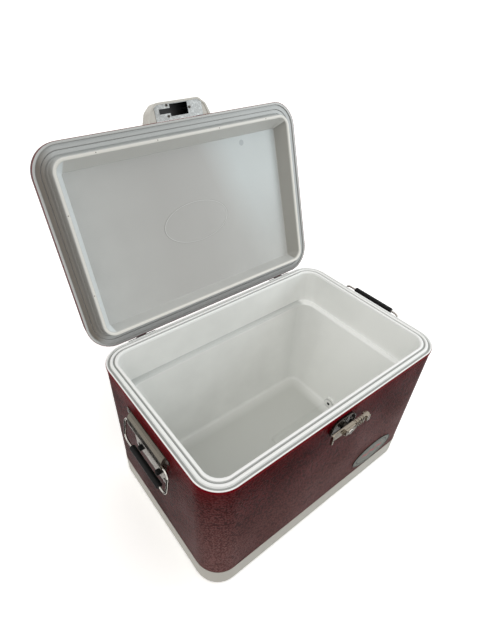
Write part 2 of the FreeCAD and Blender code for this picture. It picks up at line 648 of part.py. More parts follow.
def oval_ring(name, half_long, half_high, wide, thick):
    outer = oval(name + "_outer", half_long, half_high, thick)
    inner = oval(name + "_inner", half_long - wide, half_high - wide, thick)
    ring = doc.addObject("Part::Cut", name)
    ring.Base = outer
    ring.Tool = inner
    doc.recompute()
    return ring


X_AXIS = Vector(1, 0, 0)
Y_AXIS = Vector(0, 1, 0)
Z_AXIS = Vector(0, 0, 1)
nodes = []

# ---------------------------------------------------------------- base tray
tray_half_long = S["shell_half_long"] + S["tray_proud"]
tray_half_deep = S["shell_half_deep"] + S["tray_proud"]
tray_corner = S["shell_corner"] + S["tray_proud"]
tray = new_body("base_tray")
sk = sketch_on(tray, "tray_outline", "XY_Plane")
draw_rounded(sk, tray_half_long, tray_half_deep, tray_corner)
pad(tray, "tray_block", sk, S["tray_height"])
fillet(tray, "tray_bottom_round", S["tray_edge"], at_height(ZERO))
seat = S["seat_gap"]
sk = sketch_on(tray, "tray_seat_outline", "XY_Plane", S["tray_height"])
draw_rounded(sk, S["shell_half_long"] + seat, S["shell_half_deep"] + seat, S["shell_corner"] + seat)
pocket(tray, "tray_seat", sk, S["tray_height"] - S["shell_foot"])
inner = S["tray_wall"] - S["tray_proud"]
sk = sketch_on(tray, "tray_hollow_outline", "XY_Plane", S["tray_height"])
draw_rounded(sk, S["shell_half_long"] - inner, S["shell_half_deep"] - inner, S["shell_corner"] - inner)
pocket(tray, "tray_hollow", sk, S["tray_height"] - S["tray_floor"])
skid = S["skid_inset"]
sk = sketch_on(tray, "skid_outline", "XY_Plane")
draw_rounded(sk, tray_half_long - skid, tray_half_deep - skid, tray_corner - skid)
skid_in = skid + S["skid_width"]
draw_rounded(sk, tray_half_long - skid_in, tray_half_deep - skid_in, tray_corner - skid_in)
pocket(tray, "skid_groove", sk, S["skid_depth"], True)
spout_hole = S["spout_radius"] + S["hole_gap"]
sk = sketch_on(tray, "tray_drain_outline", "YZ_Plane", S["drain_face"])
draw_circle(sk, S["drain_deep"], S["drain_high"], spout_hole)
pocket(tray, "tray_drain_hole", sk, tray_half_long, True)
nodes.append(tray)

# ---------------------------------------------------------------- steel belt with rolled bead
gauge = S["shell_gauge"]
shell = new_body("outer_shell")
sk = sketch_on(shell, "belt_outline", "XY_Plane", S["shell_foot"])
draw_rounded(sk, S["shell_half_long"], S["shell_half_deep"], S["shell_corner"])
draw_rounded(sk, S["shell_half_long"] - gauge, S["shell_half_deep"] - gauge, S["shell_corner"] - gauge)
pad(shell, "belt", sk, S["bead_low"] - S["shell_foot"])
proud = S["bead_proud"]
sk = sketch_on(shell, "bead_outline", "XY_Plane", S["bead_low"])
draw_rounded(sk, S["shell_half_long"] + proud, S["shell_half_deep"] + proud, S["shell_corner"] + proud)
draw_rounded(sk, S["shell_half_long"] - gauge, S["shell_half_deep"] - gauge, S["shell_corner"] - gauge)
pad(shell, "bead", sk, S["bead_high"] - S["bead_low"])


def on_bead_outside(point):
    beyond = (proud / 2).value
    outside = (abs(point.x) > S["shell_half_long"].value + beyond
               or abs(point.y) > S["shell_half_deep"].value + beyond)
    corner_x = abs(point.x) - (S["shell_half_long"] - S["shell_corner"]).value
    corner_y = abs(point.y) - (S["shell_half_deep"] - S["shell_corner"]).value
    if corner_x > 0 and corner_y > 0:
        outside = math.hypot(corner_x, corner_y) > S["shell_corner"].value + beyond
    level = abs(point.z - S["bead_low"].value) < NEAR or abs(point.z - S["bead_high"].value) < NEAR
    return outside and level


fillet(shell, "bead_rounding", S["bead_round"], on_bead_outside)
sk = sketch_on(shell, "shell_drain_outline", "YZ_Plane", S["drain_face"])
draw_circle(sk, S["drain_deep"], S["drain_high"], spout_hole)
pocket(shell, "shell_drain_hole", sk, S["shell_half_long"], True)
nodes.append(shell)

# ---------------------------------------------------------------- liner
def inside(name, body, height, half_long, half_deep, corner, grow=ZERO):
    sketch = sketch_on(body, name, "XY_Plane", height)
    draw_rounded(sketch, half_long + grow, half_deep + grow, corner + grow)
    return sketch


wall = S["liner_wall"]
liner = new_body("inner_liner")
floor_under = S["liner_floor"] - S["floor_thick"]
ledge_under = S["ledge_height"] - wall
low_foot = inside("liner_foot", liner, floor_under, S["floor_half_long"], S["floor_half_deep"],
                  S["low_corner"], wall)
low_head = inside("liner_waist", liner, ledge_under, S["ledge_half_long"], S["ledge_half_deep"],
                  S["low_corner"], wall)
loft(liner, "liner_low", low_foot, low_head)
up_foot = inside("liner_shoulder", liner, ledge_under, S["above_half_long"], S["above_half_deep"],
                 S["mouth_corner"], wall)
up_head = inside("liner_mouth", liner, S["rim_under"], S["mouth_half_long"], S["mouth_half_deep"],
                 S["mouth_corner"], wall)
loft(liner, "liner_up", up_foot, up_head)
skin_in = gauge + seat
sk = sketch_on(liner, "flange_outline", "XY_Plane", S["rim_under"])
draw_rounded(sk, S["shell_half_long"] - skin_in, S["shell_half_deep"] - skin_in,
             S["shell_corner"] - skin_in)
pad(liner, "flange", sk, S["rim_groove_high"] - S["rim_under"])


def ring(body, name, base, top, out_offset, in_offset, source="shell"):
    """A ring following the belt, between two offsets from its face."""
    sketch = sketch_on(body, name + "_outline", "XY_Plane", base)
    for offset in (out_offset, in_offset):
        draw_rounded(sketch, S["shell_half_long"] - offset, S["shell_half_deep"] - offset,
                     S["shell_corner"] - offset)
    return pad(body, name, sketch, top - base)


ring(liner, "lip_wall", S["rim_groove_high"], S["rim_lip_high"], skin_in, S["lip_wide"])
ring(liner, "lip_cap", S["bead_high"] + seat, S["rim_lip_high"], ZERO, S["lip_wide"])
sk = sketch_on(liner, "rim_step_outline", "XY_Plane", S["rim_groove_high"])
step = S["ridge_a_out"]
draw_rounded(sk, S["shell_half_long"] - step, S["shell_half_deep"] - step, S["shell_corner"] - step)
pad(liner, "rim_step", sk, S["rim_mid_high"] - S["rim_groove_high"])
ring(liner, "ridge_a", S["rim_mid_high"], S["rim_top"], S["ridge_a_out"], S["ridge_a_in"])
sk = sketch_on(liner, "ridge_b_outline", "XY_Plane", S["rim_mid_high"])
step = S["ridge_b_out"]
draw_rounded(sk, S["shell_half_long"] - step, S["shell_half_deep"] - step, S["shell_corner"] - step)
pad(liner, "ridge_b", sk, S["rim_top"] - S["rim_mid_high"])
mouth_foot = inside("mouth_foot", liner, S["ledge_height"], S["above_half_long"],
                    S["above_half_deep"], S["mouth_corner"])
mouth_head = inside("mouth_head", liner, S["rim_top"], S["mouth_half_long"],
                    S["mouth_half_deep"], S["mouth_corner"])
loft(liner, "mouth_cut", mouth_foot, mouth_head, True)
low_cut_foot = inside("cavity_foot", liner, S["liner_floor"], S["floor_half_long"],
                      S["floor_half_deep"], S["low_corner"])
low_cut_head = inside("cavity_head", liner, S["ledge_height"], S["ledge_half_long"],
                      S["ledge_half_deep"], S["low_corner"])
loft(liner, "cavity_cut", low_cut_foot, low_cut_head, True)


def on_cavity_floor(point):
    within = abs(point.x) < S["floor_half_long"].value + NEAR
    return within and abs(point.z - S["liner_floor"].value) < NEAR


def on_ledge_lip(point):
    within = abs(point.x) < S["ledge_half_long"].value + NEAR
    within = within and abs(point.y) < S["ledge_half_deep"].value + NEAR
    return within and abs(point.z - S["ledge_height"].value) < NEAR


def on_ridge_top(point):
    return abs(point.z - S["rim_top"].value) < NEAR


fillet(liner, "floor_corner", S["floor_round"], on_cavity_floor)
fillet(liner, "ledge_corner", S["ledge_round"], on_ledge_lip)
fillet(liner, "ridge_corner", S["ridge_round"], on_ridge_top)
trough_right = S["floor_half_long"] - S["trough_stop"]
trough_half = S["trough_long"] / 2
trough_mid = trough_right - trough_half


def trough_sketch(name, height, inset):
    """The drain trough's outline at one height, drawn in by the inset."""
    sketch = sketch_on(liner, name, "XY_Plane", height)
    draw_rounded(sketch, trough_half - inset, S["trough_half_wide"] - inset, S["trough_corner"] - inset,
                 trough_mid, S["drain_deep"])
    return sketch


trough_head = trough_sketch("trough_head", S["liner_floor"], ZERO)
trough_foot = trough_sketch("trough_foot", S["liner_floor"] - S["trough_deep"], S["trough_slope"])
loft(liner, "trough", trough_head, trough_foot, True)
sk = sketch_on(liner, "drain_relief_outline", "YZ_Plane", S["drain_face"])
draw_circle(sk, S["drain_deep"], S["drain_high"], S["flange_radius"] + S["flange_clear"])
pocket(liner, "drain_relief", sk, S["trough_stop"])
sk = sketch_on(liner, "boss_outline", "YZ_Plane", S["drain_face"])
draw_circle(sk, S["drain_deep"], S["drain_high"], S["drain_boss_radius"])
pad(liner, "drain_boss", sk, S["drain_boss_long"])
sk = sketch_on(liner, "liner_drain_outline", "YZ_Plane", S["drain_face"])
draw_circle(sk, S["drain_deep"], S["drain_high"], spout_hole)
pocket(liner, "liner_drain_hole", sk, S["shell_half_long"] - S["drain_face"], True)
nodes.append(liner)

# ---------------------------------------------------------------- body foam
foam = new_body("body_foam")
foam_in = S["foam_inset"]
sk = sketch_on(foam, "foam_outline", "XY_Plane", S["tray_floor"])
draw_rounded(sk, S["shell_half_long"] - foam_in, S["shell_half_deep"] - foam_in, S["shell_corner"] - foam_in)
pad(foam, "foam_block", sk, S["foam_top"] - S["tray_floor"])
around = wall + S["seat_gap"] * 2
foam_low_foot = inside("foam_foot", foam, floor_under, S["floor_half_long"], S["floor_half_deep"],
                       S["low_corner"], around)
foam_low_head = inside("foam_waist", foam, ledge_under, S["ledge_half_long"], S["ledge_half_deep"],
                       S["low_corner"], around)
loft(foam, "foam_low", foam_low_foot, foam_low_head, True)
foam_up_foot = inside("foam_shoulder", foam, ledge_under, S["above_half_long"], S["above_half_deep"],
                      S["mouth_corner"], around)
foam_up_head = inside("foam_mouth", foam, S["rim_under"], S["mouth_half_long"], S["mouth_half_deep"],
                      S["mouth_corner"], around)
loft(foam, "foam_up", foam_up_foot, foam_up_head, True)
sk = sketch_on(foam, "foam_boss_outline", "YZ_Plane", S["drain_face"])
draw_circle(sk, S["drain_deep"], S["drain_high"], S["drain_boss_radius"] + S["hole_gap"])
pocket(foam, "foam_boss_hole", sk, S["drain_boss_long"] + S["hole_gap"], True)
sk = sketch_on(foam, "foam_drain_outline", "YZ_Plane", S["drain_face"])
draw_circle(sk, S["drain_deep"], S["drain_high"], spout_hole)
pocket(foam, "foam_drain_hole", sk, S["shell_half_long"] - S["drain_face"], True)
nodes.append(foam)

# ---------------------------------------------------------------- drain, own frame: boss face, axis +X
spout = new_body("drain_spout")
washer = S["washer_thick"]
sk = sketch_on(spout, "flange_outline", "YZ_Plane", -washer)
draw_circle(sk, ZERO, ZERO, S["flange_radius"])
pad(spout, "flange", sk, S["flange_thick"], True)
fillet(spout, "flange_rounding", S["flange_round"],
       lambda point: abs(point.x + (washer + S["flange_thick"]).value) < NEAR)
sk = sketch_on(spout, "tube_outline", "YZ_Plane", -washer)
draw_circle(sk, ZERO, ZERO, S["spout_radius"])
pad(spout, "tube", sk, S["spout_end"] - S["drain_face"] + washer)
sk = sketch_on(spout, "bore_outline", "YZ_Plane", -washer - S["flange_thick"])
draw_circle(sk, ZERO, ZERO, S["spout_bore"])
pocket(spout, "bore", sk, S["spout_end"] - S["drain_face"] + washer + S["flange_thick"], True)
place(spout, S["drain_face"], S["drain_deep"], S["drain_high"])
nodes.append(spout)

drain_washer = new_body("drain_washer")
sk = sketch_on(drain_washer, "washer_outline", "YZ_Plane", -washer)
draw_circle(sk, ZERO, ZERO, S["washer_radius"])
draw_circle(sk, ZERO, ZERO, spout_hole)
pad(drain_washer, "washer", sk, washer)
place(drain_washer, S["drain_face"], S["drain_deep"], S["drain_high"])
nodes.append(drain_washer)

nut = new_body("drain_nut")
sk = sketch_on(nut, "nut_outline", "YZ_Plane")
nut_half = S["nut_radius"] * cosine(SIXTH)
nut_flat = S["nut_radius"] * sine(SIXTH)
draw_polygon(sk, [(S["nut_radius"], ZERO), (nut_half, nut_flat), (-nut_half, nut_flat),
                  (-S["nut_radius"], ZERO), (-nut_half, -nut_flat), (nut_half, -nut_flat)])
draw_circle(sk, ZERO, ZERO, spout_hole)
pad(nut, "nut", sk, S["nut_thick"])
place(nut, tray_half_long, S["drain_deep"], S["drain_high"])
nodes.append(nut)

plug = new_body("drain_plug")
sk = sketch_on(plug, "plug_stem_outline", "YZ_Plane")
draw_circle(sk, ZERO, ZERO, S["spout_bore"] - S["plug_fit"])
pad(plug, "plug_stem", sk, S["plug_stem"], True)
sk = sketch_on(plug, "plug_head_outline", "YZ_Plane")
draw_circle(sk, ZERO, ZERO, S["plug_radius"])
pad(plug, "plug_head", sk, S["plug_head"])
fillet(plug, "plug_rounding", S["plug_round"], lambda point: abs(point.x - S["plug_head"].value) < NEAR)
place(plug, S["spout_end"] + S["plug_stand_off"], S["drain_deep"], S["drain_high"])
nodes.append(plug)

# ---------------------------------------------------------------- oval badge on the front
front_face = -S["shell_half_deep"]
badge_plate = oval("badge_plate", S["badge_half_long"], S["badge_half_high"], S["badge_thick"])
badge_ring = oval_ring("badge_ring", S["badge_half_long"], S["badge_half_high"], S["badge_rim_wide"],
                       S["badge_thick"] + S["badge_rim_high"])
badge = doc.addObject("Part::Fuse", "front_badge")
badge.Label = "front_badge"
badge.Base = badge_plate
badge.Tool = badge_ring
badge.Placement = FreeCAD.Placement(Vector(S["badge_along"].value, front_face.value, S["badge_high"].value),
                                    FreeCAD.Rotation(X_AXIS, 90))
bind(badge, "Placement.Base.x", S["badge_along"])
bind(badge, "Placement.Base.y", front_face)
bind(badge, "Placement.Base.z", S["badge_high"])
nodes.append(badge)

# ---------------------------------------------------------------- latch on the body
# Own frame: lever pivot on the belt's front face; sketches on the XZ plane grow toward -Y.
cup = new_body("latch_cup")
sk = sketch_on(cup, "cup_outline", "XZ_Plane")
draw_rounded(sk, S["cup_half_long"], S["cup_half_high"], S["cup_corner"])
pad(cup, "cup_block", sk, S["cup_rim_high"])
cup_in = S["cup_rim_wide"]
sk = sketch_on(cup, "cup_hollow_outline", "XZ_Plane", S["cup_rim_high"])
draw_rounded(sk, S["cup_half_long"] - cup_in, S["cup_half_high"] - cup_in, S["cup_corner"] - cup_in)
pocket(cup, "cup_hollow", sk, S["cup_rim_high"] - S["cup_floor"])
fillet(cup, "cup_rounding", S["cup_round"], lambda point: abs(point.y + S["cup_rim_high"].value) < NEAR)
sk = sketch_on(cup, "post_outline", "XZ_Plane")
draw_circle(sk, ZERO, ZERO, S["post_radius"])
pad(cup, "post", sk, S["post_high"])
sk = sketch_on(cup, "cup_bore_outline", "XZ_Plane", S["post_high"])
draw_circle(sk, ZERO, ZERO, S["pin_radius"] + S["pin_fit"])
pocket(cup, "cup_bore", sk, S["post_high"])
for side, tag in ((-1, "left"), (1, "right")):
    sk = sketch_on(cup, "cup_screw_" + tag, "XZ_Plane", S["cup_floor"])
    draw_circle(sk, S["cup_screw_along"] * side, ZERO, S["screw_shank"] + S["pin_fit"])
    pocket(cup, "cup_screw_hole_" + tag, sk, S["cup_floor"])
place(cup, S["latch_along"], front_face, S["latch_high"])
nodes.append(cup)

keeper = new_body("latch_keeper")
sk = sketch_on(keeper, "keeper_outline", "XZ_Plane", S["cup_floor"])
draw_rounded(sk, S["leaf_half_long"], S["leaf_tall"] / 2, S["leaf_corner"],
             ZERO, S["leaf_high"] + S["leaf_tall"] / 2)
pad(keeper, "keeper_strip", sk, S["leaf_gauge"])
place(keeper, S["latch_along"], front_face, S["latch_high"])
nodes.append(keeper)

lever_in = S["post_high"] + S["lever_gap"]
lever = new_body("latch_lever")
sk = sketch_on(lever, "hub_outline", "XZ_Plane", lever_in)
draw_circle(sk, ZERO, ZERO, S["lever_hub"])
pad(lever, "hub", sk, S["lever_thick"])
sk = sketch_on(lever, "neck_outline", "XZ_Plane", lever_in)
neck = S["lever_half_wide"]
draw_polygon(sk, [(ZERO, -neck), (S["lever_tip"], -neck), (S["lever_tip"], neck), (ZERO, neck)])
pad(lever, "neck", sk, S["lever_thick"])
head_in = lever_in + S["lever_thick"] / 2 - S["head_half_thick"]
sk = sketch_on(lever, "head_outline", "XZ_Plane", head_in)
head_half_long = (S["lever_tip"] - S["lever_neck_end"]) / 2
draw_rounded(sk, head_half_long, S["head_half_wide"], S["rib_wide"],
             S["lever_neck_end"] + head_half_long, ZERO)
pad(lever, "head", sk, S["head_half_thick"] * 2)
block = S["block_half_long"]
sk = sketch_on(lever, "block_outline", "XZ_Plane", lever_in)
draw_rounded(sk, block, S["block_half_wide"], S["rib_wide"], S["block_along"], ZERO)
pad(lever, "block", sk, S["lever_thick"])
sk = sketch_on(lever, "block_top_outline", "XZ_Plane", lever_in + S["lever_thick"])
draw_rounded(sk, block - S["rib_high"], S["block_half_wide"] - S["rib_high"], S["rib_wide"],
             S["block_along"], ZERO)
pad(lever, "block_top", sk, S["block_high"])
for i in range(RIB_COUNT):
    sk = sketch_on(lever, "rib_outline_%d" % i, "XZ_Plane", lever_in)
    draw_rounded(sk, S["rib_wide"] / 2, neck + S["rib_high"], S["rib_corner"],
                 S["rib_first"] + S["rib_pitch"] * i, ZERO)
    pad(lever, "rib_%d" % i, sk, S["lever_thick"] + S["rib_high"])
tab_side, tab_end = S["tab_half_wide"], -S["tab_reach"]
sk = sketch_on(lever, "tab_outline", "XZ_Plane", lever_in)
draw_polygon(sk, [(ZERO, -tab_side), (ZERO, tab_side), (tab_end, tab_side), (tab_end, -tab_side)])
pad(lever, "tab", sk, S["tab_thick"])
lip_inner = tab_end + S["tab_lip_wide"]
sk = sketch_on(lever, "tab_lip_outline", "XZ_Plane", lever_in)
draw_polygon(sk, [(lip_inner, -S["tab_lip_low"]), (lip_inner, tab_side), (tab_end, tab_side),
                  (tab_end, -S["tab_lip_low"])])
pad(lever, "tab_lip", sk, S["tab_lip"])
sk = sketch_on(lever, "lever_bore_outline", "XZ_Plane", lever_in + S["lever_thick"] + S["block_high"])
draw_circle(sk, ZERO, ZERO, S["pin_radius"] + S["pin_fit"])
pocket(lever, "lever_bore", sk, S["lever_thick"] + S["block_high"])
place(lever, S["latch_along"], front_face, S["latch_high"])
nodes.append(lever)

pin = new_body("latch_pin")
sk = sketch_on(pin, "pin_outline", "XZ_Plane", S["cup_floor"])
draw_circle(sk, ZERO, ZERO, S["pin_radius"])
pin_head_in = lever_in + S["lever_thick"] + S["block_high"] + S["lever_gap"]
pad(pin, "pin_shaft", sk, pin_head_in - S["cup_floor"])
sk = sketch_on(pin, "pin_head_outline", "XZ_Plane", pin_head_in)
draw_circle(sk, ZERO, ZERO, S["pin_head_radius"])
pad(pin, "pin_head", sk, S["pin_head_thick"])
fillet(pin, "pin_head_rounding", S["pin_head_round"],
       lambda point: abs(point.y + (pin_head_in + S["pin_head_thick"]).value) < NEAR)
place(pin, S["latch_along"], front_face, S["latch_high"])
nodes.append(pin)

small_screw = (S["screw_head"], S["screw_head_thick"], S["screw_shank"], S["screw_reach"])
cup_screws = []
for side, tag in ((-1, "left"), (1, "right")):
    cup_screws.append(round_head_fastener(
        "cup_screw_%s_part" % tag, S["latch_along"] + S["cup_screw_along"] * side,
        front_face - S["cup_floor"], S["latch_high"], X_AXIS, 90, small_screw))
nodes.append(compound("latch_screws", cup_screws))

# ---------------------------------------------------------------- lid, own frame: hinge line, lid closed
LID_AXIS = Vector(-1, 0, 0)


def place_on_lid(thing):
    """Everything drawn in the lid's frame swings open with the lid."""
    place(thing, ZERO, S["hinge_deep"], S["hinge_high"], LID_AXIS, S["lid_open_angle"])


lid_mid = -(S["lid_back"] + S["lid_half_deep"])
lid_front = -(S["lid_back"] + S["lid_half_deep"] * 2)
plug_mid = S["plug_shift"] - S["hinge_deep"]
panel_mid = plug_mid + S["panel_shift"]
edge = S["lid_edge"]


def lid_ring_sketch(body, name, base, offset, top=edge):
    """The lid's outline drawn in by an offset; its ends lean in up to the given height."""
    lean = S["lid_lean"] * (top - edge) / S["lid_tall"]
    sketch = sketch_on(body, name, "XY_Plane", base)
    draw_rounded(sketch, S["lid_half_long"] - offset - lean, S["lid_half_deep"] - offset,
                 S["lid_corner"] - offset, ZERO, lid_mid)
    return sketch


def lid_block(body, name, foot, head, offset):
    """A block with the lid's leaning ends, drawn in by an offset."""
    low = lid_ring_sketch(body, name + "_foot", foot, offset, foot)
    high = lid_ring_sketch(body, name + "_head", head, offset, head)
    loft(body, name, high, low)


lid_shell = new_body("lid_shell")
lid_block(lid_shell, "lid_block", edge, S["lid_high"], ZERO)
fillet(lid_shell, "lid_top_round", S["lid_round"], at_height(S["lid_high"]))
base = lid_shell.Tip
faces = []
for i, face in enumerate(base.Shape.Faces, start=1):
    if all(abs(vertex.Point.z - S["lid_edge"].value) < NEAR for vertex in face.Vertexes):
        faces.append("Face%d" % i)
hollow = lid_shell.newObject("PartDesign::Thickness", "lid_skin")
hollow.Base = (base, faces)
hollow.Value = gauge.value
bind(hollow, "Value", gauge)
hollow.Reversed = True
lid_shell.Tip = hollow
doc.recompute()
hinge_screw_high = S["hinge_screw_rise"]
for side, tag in ((-1, "left"), (1, "right")):
    sk = sketch_on(lid_shell, "lid_hinge_holes_" + tag, "XZ_Plane")
    for step in (-1, 0, 1):
        draw_circle(sk, S["hinge_along"] * side + S["hinge_screw_spread"] * step, hinge_screw_high,
                    S["screw_shank"] + S["pin_fit"])
    pocket(lid_shell, "lid_hinge_cut_" + tag, sk, S["drill_depth"])
place_on_lid(lid_shell)
nodes.append(lid_shell)


def lid_plan(body, name, base, half_long, half_deep, corner, grow=ZERO, mid=plug_mid):
    """A rounded outline in the lid's frame."""
    sketch = sketch_on(body, name, "XY_Plane", base)
    draw_rounded(sketch, half_long + grow, half_deep + grow, corner + grow, ZERO, mid)
    return sketch


pan = new_body("lid_pan")
crest_high = edge - S["plug_drop"]
panel_high = edge + S["panel_rise"]
pan_top = panel_high + S["pan_wall"]
crest_long = S["plug_half_long"] - S["crest_wide"]
crest_deep = S["plug_half_deep"] - S["crest_wide"]
crest_corner = S["plug_corner"] - S["crest_wide"]
flange_top = edge + S["pan_flange"]
lid_block(pan, "pan_flange_block", edge, flange_top, gauge + S["lid_skin_gap"])
sk = lid_ring_sketch(pan, "pan_step_outline", edge, S["band_wide"])
draw_rounded(sk, S["plug_half_long"], S["plug_half_deep"], S["plug_corner"], ZERO, plug_mid)
pocket(pan, "pan_step", sk, S["step_rise"], True)
sk = lid_ring_sketch(pan, "pan_groove_outline", edge, S["step_wide"])
draw_rounded(sk, S["plug_half_long"], S["plug_half_deep"], S["plug_corner"], ZERO, plug_mid)
pocket(pan, "pan_groove", sk, S["groove_rise"], True)
plug_head = lid_plan(pan, "plug_crest", crest_high, S["plug_half_long"], S["plug_half_deep"],
                     S["plug_corner"])
plug_foot = lid_plan(pan, "plug_foot", flange_top, S["plug_half_long"], S["plug_half_deep"],
                     S["plug_corner"], S["plug_draft"])
loft(pan, "plug_block", plug_foot, plug_head)
pan_foot = lid_plan(pan, "pan_wall_foot", edge, crest_long, crest_deep, crest_corner)
pan_head = lid_plan(pan, "pan_wall_head", pan_top, S["panel_half_long"], S["panel_half_deep"],
                    S["panel_corner"], S["pan_wall"], panel_mid)
loft(pan, "pan_walls", pan_foot, pan_head)
cut_foot = lid_plan(pan, "panel_cut_foot", crest_high, crest_long, crest_deep, crest_corner)
cut_head = lid_plan(pan, "panel_cut_head", panel_high, S["panel_half_long"], S["panel_half_deep"],
                    S["panel_corner"], ZERO, panel_mid)
loft(pan, "panel_cut", cut_foot, cut_head, True)


def on_plug_foot(point):
    within = abs(point.x) < (S["plug_half_long"] + S["plug_draft"]).value
    within = within and abs(point.y - plug_mid.value) < (S["plug_half_deep"] + S["plug_draft"]).value
    return within and abs(point.z - (edge + S["groove_rise"]).value) < NEAR


fillet(pan, "plug_foot_rounding", S["plug_foot_round"], on_plug_foot)
fillet(pan, "crest_rounding", S["crest_round"], at_height(crest_high))
fillet(pan, "panel_rounding", S["panel_round"], at_height(panel_high))
place_on_lid(pan)
nodes.append(pan)

lid_foam = new_body("lid_foam")
lid_block(lid_foam, "lid_foam_block", pan_top, S["lid_foam_top"], S["lid_foam_inset"])
fillet(lid_foam, "lid_foam_rounding", S["lid_foam_round"], at_height(S["lid_foam_top"]))
place_on_lid(lid_foam)
nodes.append(lid_foam)

gasket = new_body("lid_gasket")
gasket_low = S["rim_top"] + S["gasket_gap"] - S["hinge_high"]
sk = lid_ring_sketch(gasket, "gasket_outline", gasket_low, S["gasket_out"])
draw_rounded(sk, S["lid_half_long"] - S["gasket_in"], S["lid_half_deep"] - S["gasket_in"],
             S["lid_corner"] - S["gasket_in"], ZERO, lid_mid)
pad(gasket, "gasket_ring", sk, edge + S["groove_rise"] - gasket_low)
place_on_lid(gasket)
nodes.append(gasket)

emblem = oval_ring("panel_emblem", S["emblem_half_long"], S["emblem_half_deep"], S["emblem_wide"],
                   S["emblem_high"])
emblem.Label = "panel_emblem"
emblem_low = panel_high - S["emblem_high"]
open_cos, open_sin = cosine(S["lid_open_angle"]), sine(S["lid_open_angle"])
place(emblem, S["emblem_along"], S["hinge_deep"] + panel_mid * open_cos + emblem_low * open_sin,
      S["hinge_high"] - panel_mid * open_sin + emblem_low * open_cos, LID_AXIS, S["lid_open_angle"])
nodes.append(emblem)

# ---------------------------------------------------------------- latch hood on the lid
hood = new_body("latch_hood")
hood_mid = S["hood_along"]


def hood_outline(sketch, inset, back):
    """The hood seen from below, drawn in from its outer face by the inset."""
    base_half = S["hood_half_base"] - inset
    knee_half = S["hood_knee"] - inset
    tip_half = S["hood_half_tip"] - inset / 2
    out = S["hood_out"] - inset
    draw_polygon(sketch, [
        (hood_mid - base_half, lid_front + back), (hood_mid - knee_half, lid_front - S["hood_knee_out"]),
        (hood_mid - tip_half, lid_front - out), (hood_mid + tip_half, lid_front - out),
        (hood_mid + knee_half, lid_front - S["hood_knee_out"]), (hood_mid + base_half, lid_front + back)])


lip, gap = S["hood_lip"], S["plate_gap"]
tip_x, tip_out = S["hood_half_tip"] - lip / 2, S["hood_out"] - lip
slant = (tip_out - S["hood_knee_out"]) / (S["hood_knee"] - lip - tip_x)


def under_hood(sketch, left, right, near, gap):
    """Outline inside the hood's lip between two places along it, clear of the lip by the gap."""
    left_out = tip_out - (-left - tip_x) * slant - gap
    right_out = tip_out - (right - tip_x) * slant - gap
    left, right = hood_mid + left, hood_mid + right
    far = lid_front - tip_out + gap
    draw_polygon(sketch, [(left, near), (left, lid_front - left_out), (hood_mid - tip_x + gap, far),
                          (hood_mid + tip_x - gap, far), (right, lid_front - right_out), (right, near)])


sk = sketch_on(hood, "hood_outline", "XY_Plane", S["hood_under"])
hood_outline(sk, ZERO, ZERO)
pad(hood, "hood_block", sk, S["hood_high"] - S["hood_under"])


def hood_upright(point):
    return point.y < lid_front.value - NEAR


def is_upright_edge(shape):
    names = []
    for i, one in enumerate(shape.Edges, start=1):
        ends = [vertex.Point for vertex in one.Vertexes]
        if len(ends) == 2 and abs(ends[0].x - ends[1].x) < NEAR and abs(ends[0].y - ends[1].y) < NEAR:
            if all(hood_upright(point) for point in ends):
                names.append("Edge%d" % i)
    return names


base = hood.Tip
corner_round = hood.newObject("PartDesign::Fillet", "hood_corner_round")
corner_round.Base = (base, is_upright_edge(base.Shape))
corner_round.Radius = S["hood_corner"].value
bind(corner_round, "Radius", S["hood_corner"])
hood.Tip = corner_round
doc.recompute()
fillet(hood, "hood_top_round", S["hood_round"],
       lambda point: abs(point.z - S["hood_high"].value) < NEAR and point.y < lid_front.value + NEAR)
sk = sketch_on(hood, "hood_seat_outline", "XY_Plane", S["hood_under"])
hood_outline(sk, S["hood_lip"], S["hood_wall"])
pocket(hood, "hood_seat", sk, S["plate_rise"] + S["plate_thick"], True)
bearing = S["plate_bearing"]
sk = sketch_on(hood, "hood_hollow_outline", "XY_Plane", S["hood_under"])
under_hood(sk, S["plate_left"] + bearing, S["plate_right"] - bearing, lid_front + S["hood_wall"], ZERO)
pocket(hood, "hood_hollow", sk, S["hood_high"] - S["hood_under"] - S["hood_wall"], True)
posts = [(S["post_near_along"], S["post_near_out"]), (S["post_far_along"], S["post_far_out"]),
         (S["post_side_along"], S["post_side_out"])]
post_low = S["hood_under"] + S["plate_rise"] + S["plate_thick"]
sk = sketch_on(hood, "hood_post_outline", "XY_Plane", post_low)
for along, out in posts:
    draw_circle(sk, hood_mid + along, lid_front - out, S["hood_post"])
pad(hood, "hood_posts", sk, S["hood_high"] - S["hood_wall"] / 2 - post_low)
sk = sketch_on(hood, "hood_post_holes", "XY_Plane", post_low)
for along, out in posts:
    draw_circle(sk, hood_mid + along, lid_front - out, S["screw_shank"] + S["pin_fit"])
pocket(hood, "hood_post_cut", sk, S["post_screw_deep"], True)
place_on_lid(hood)
nodes.append(hood)

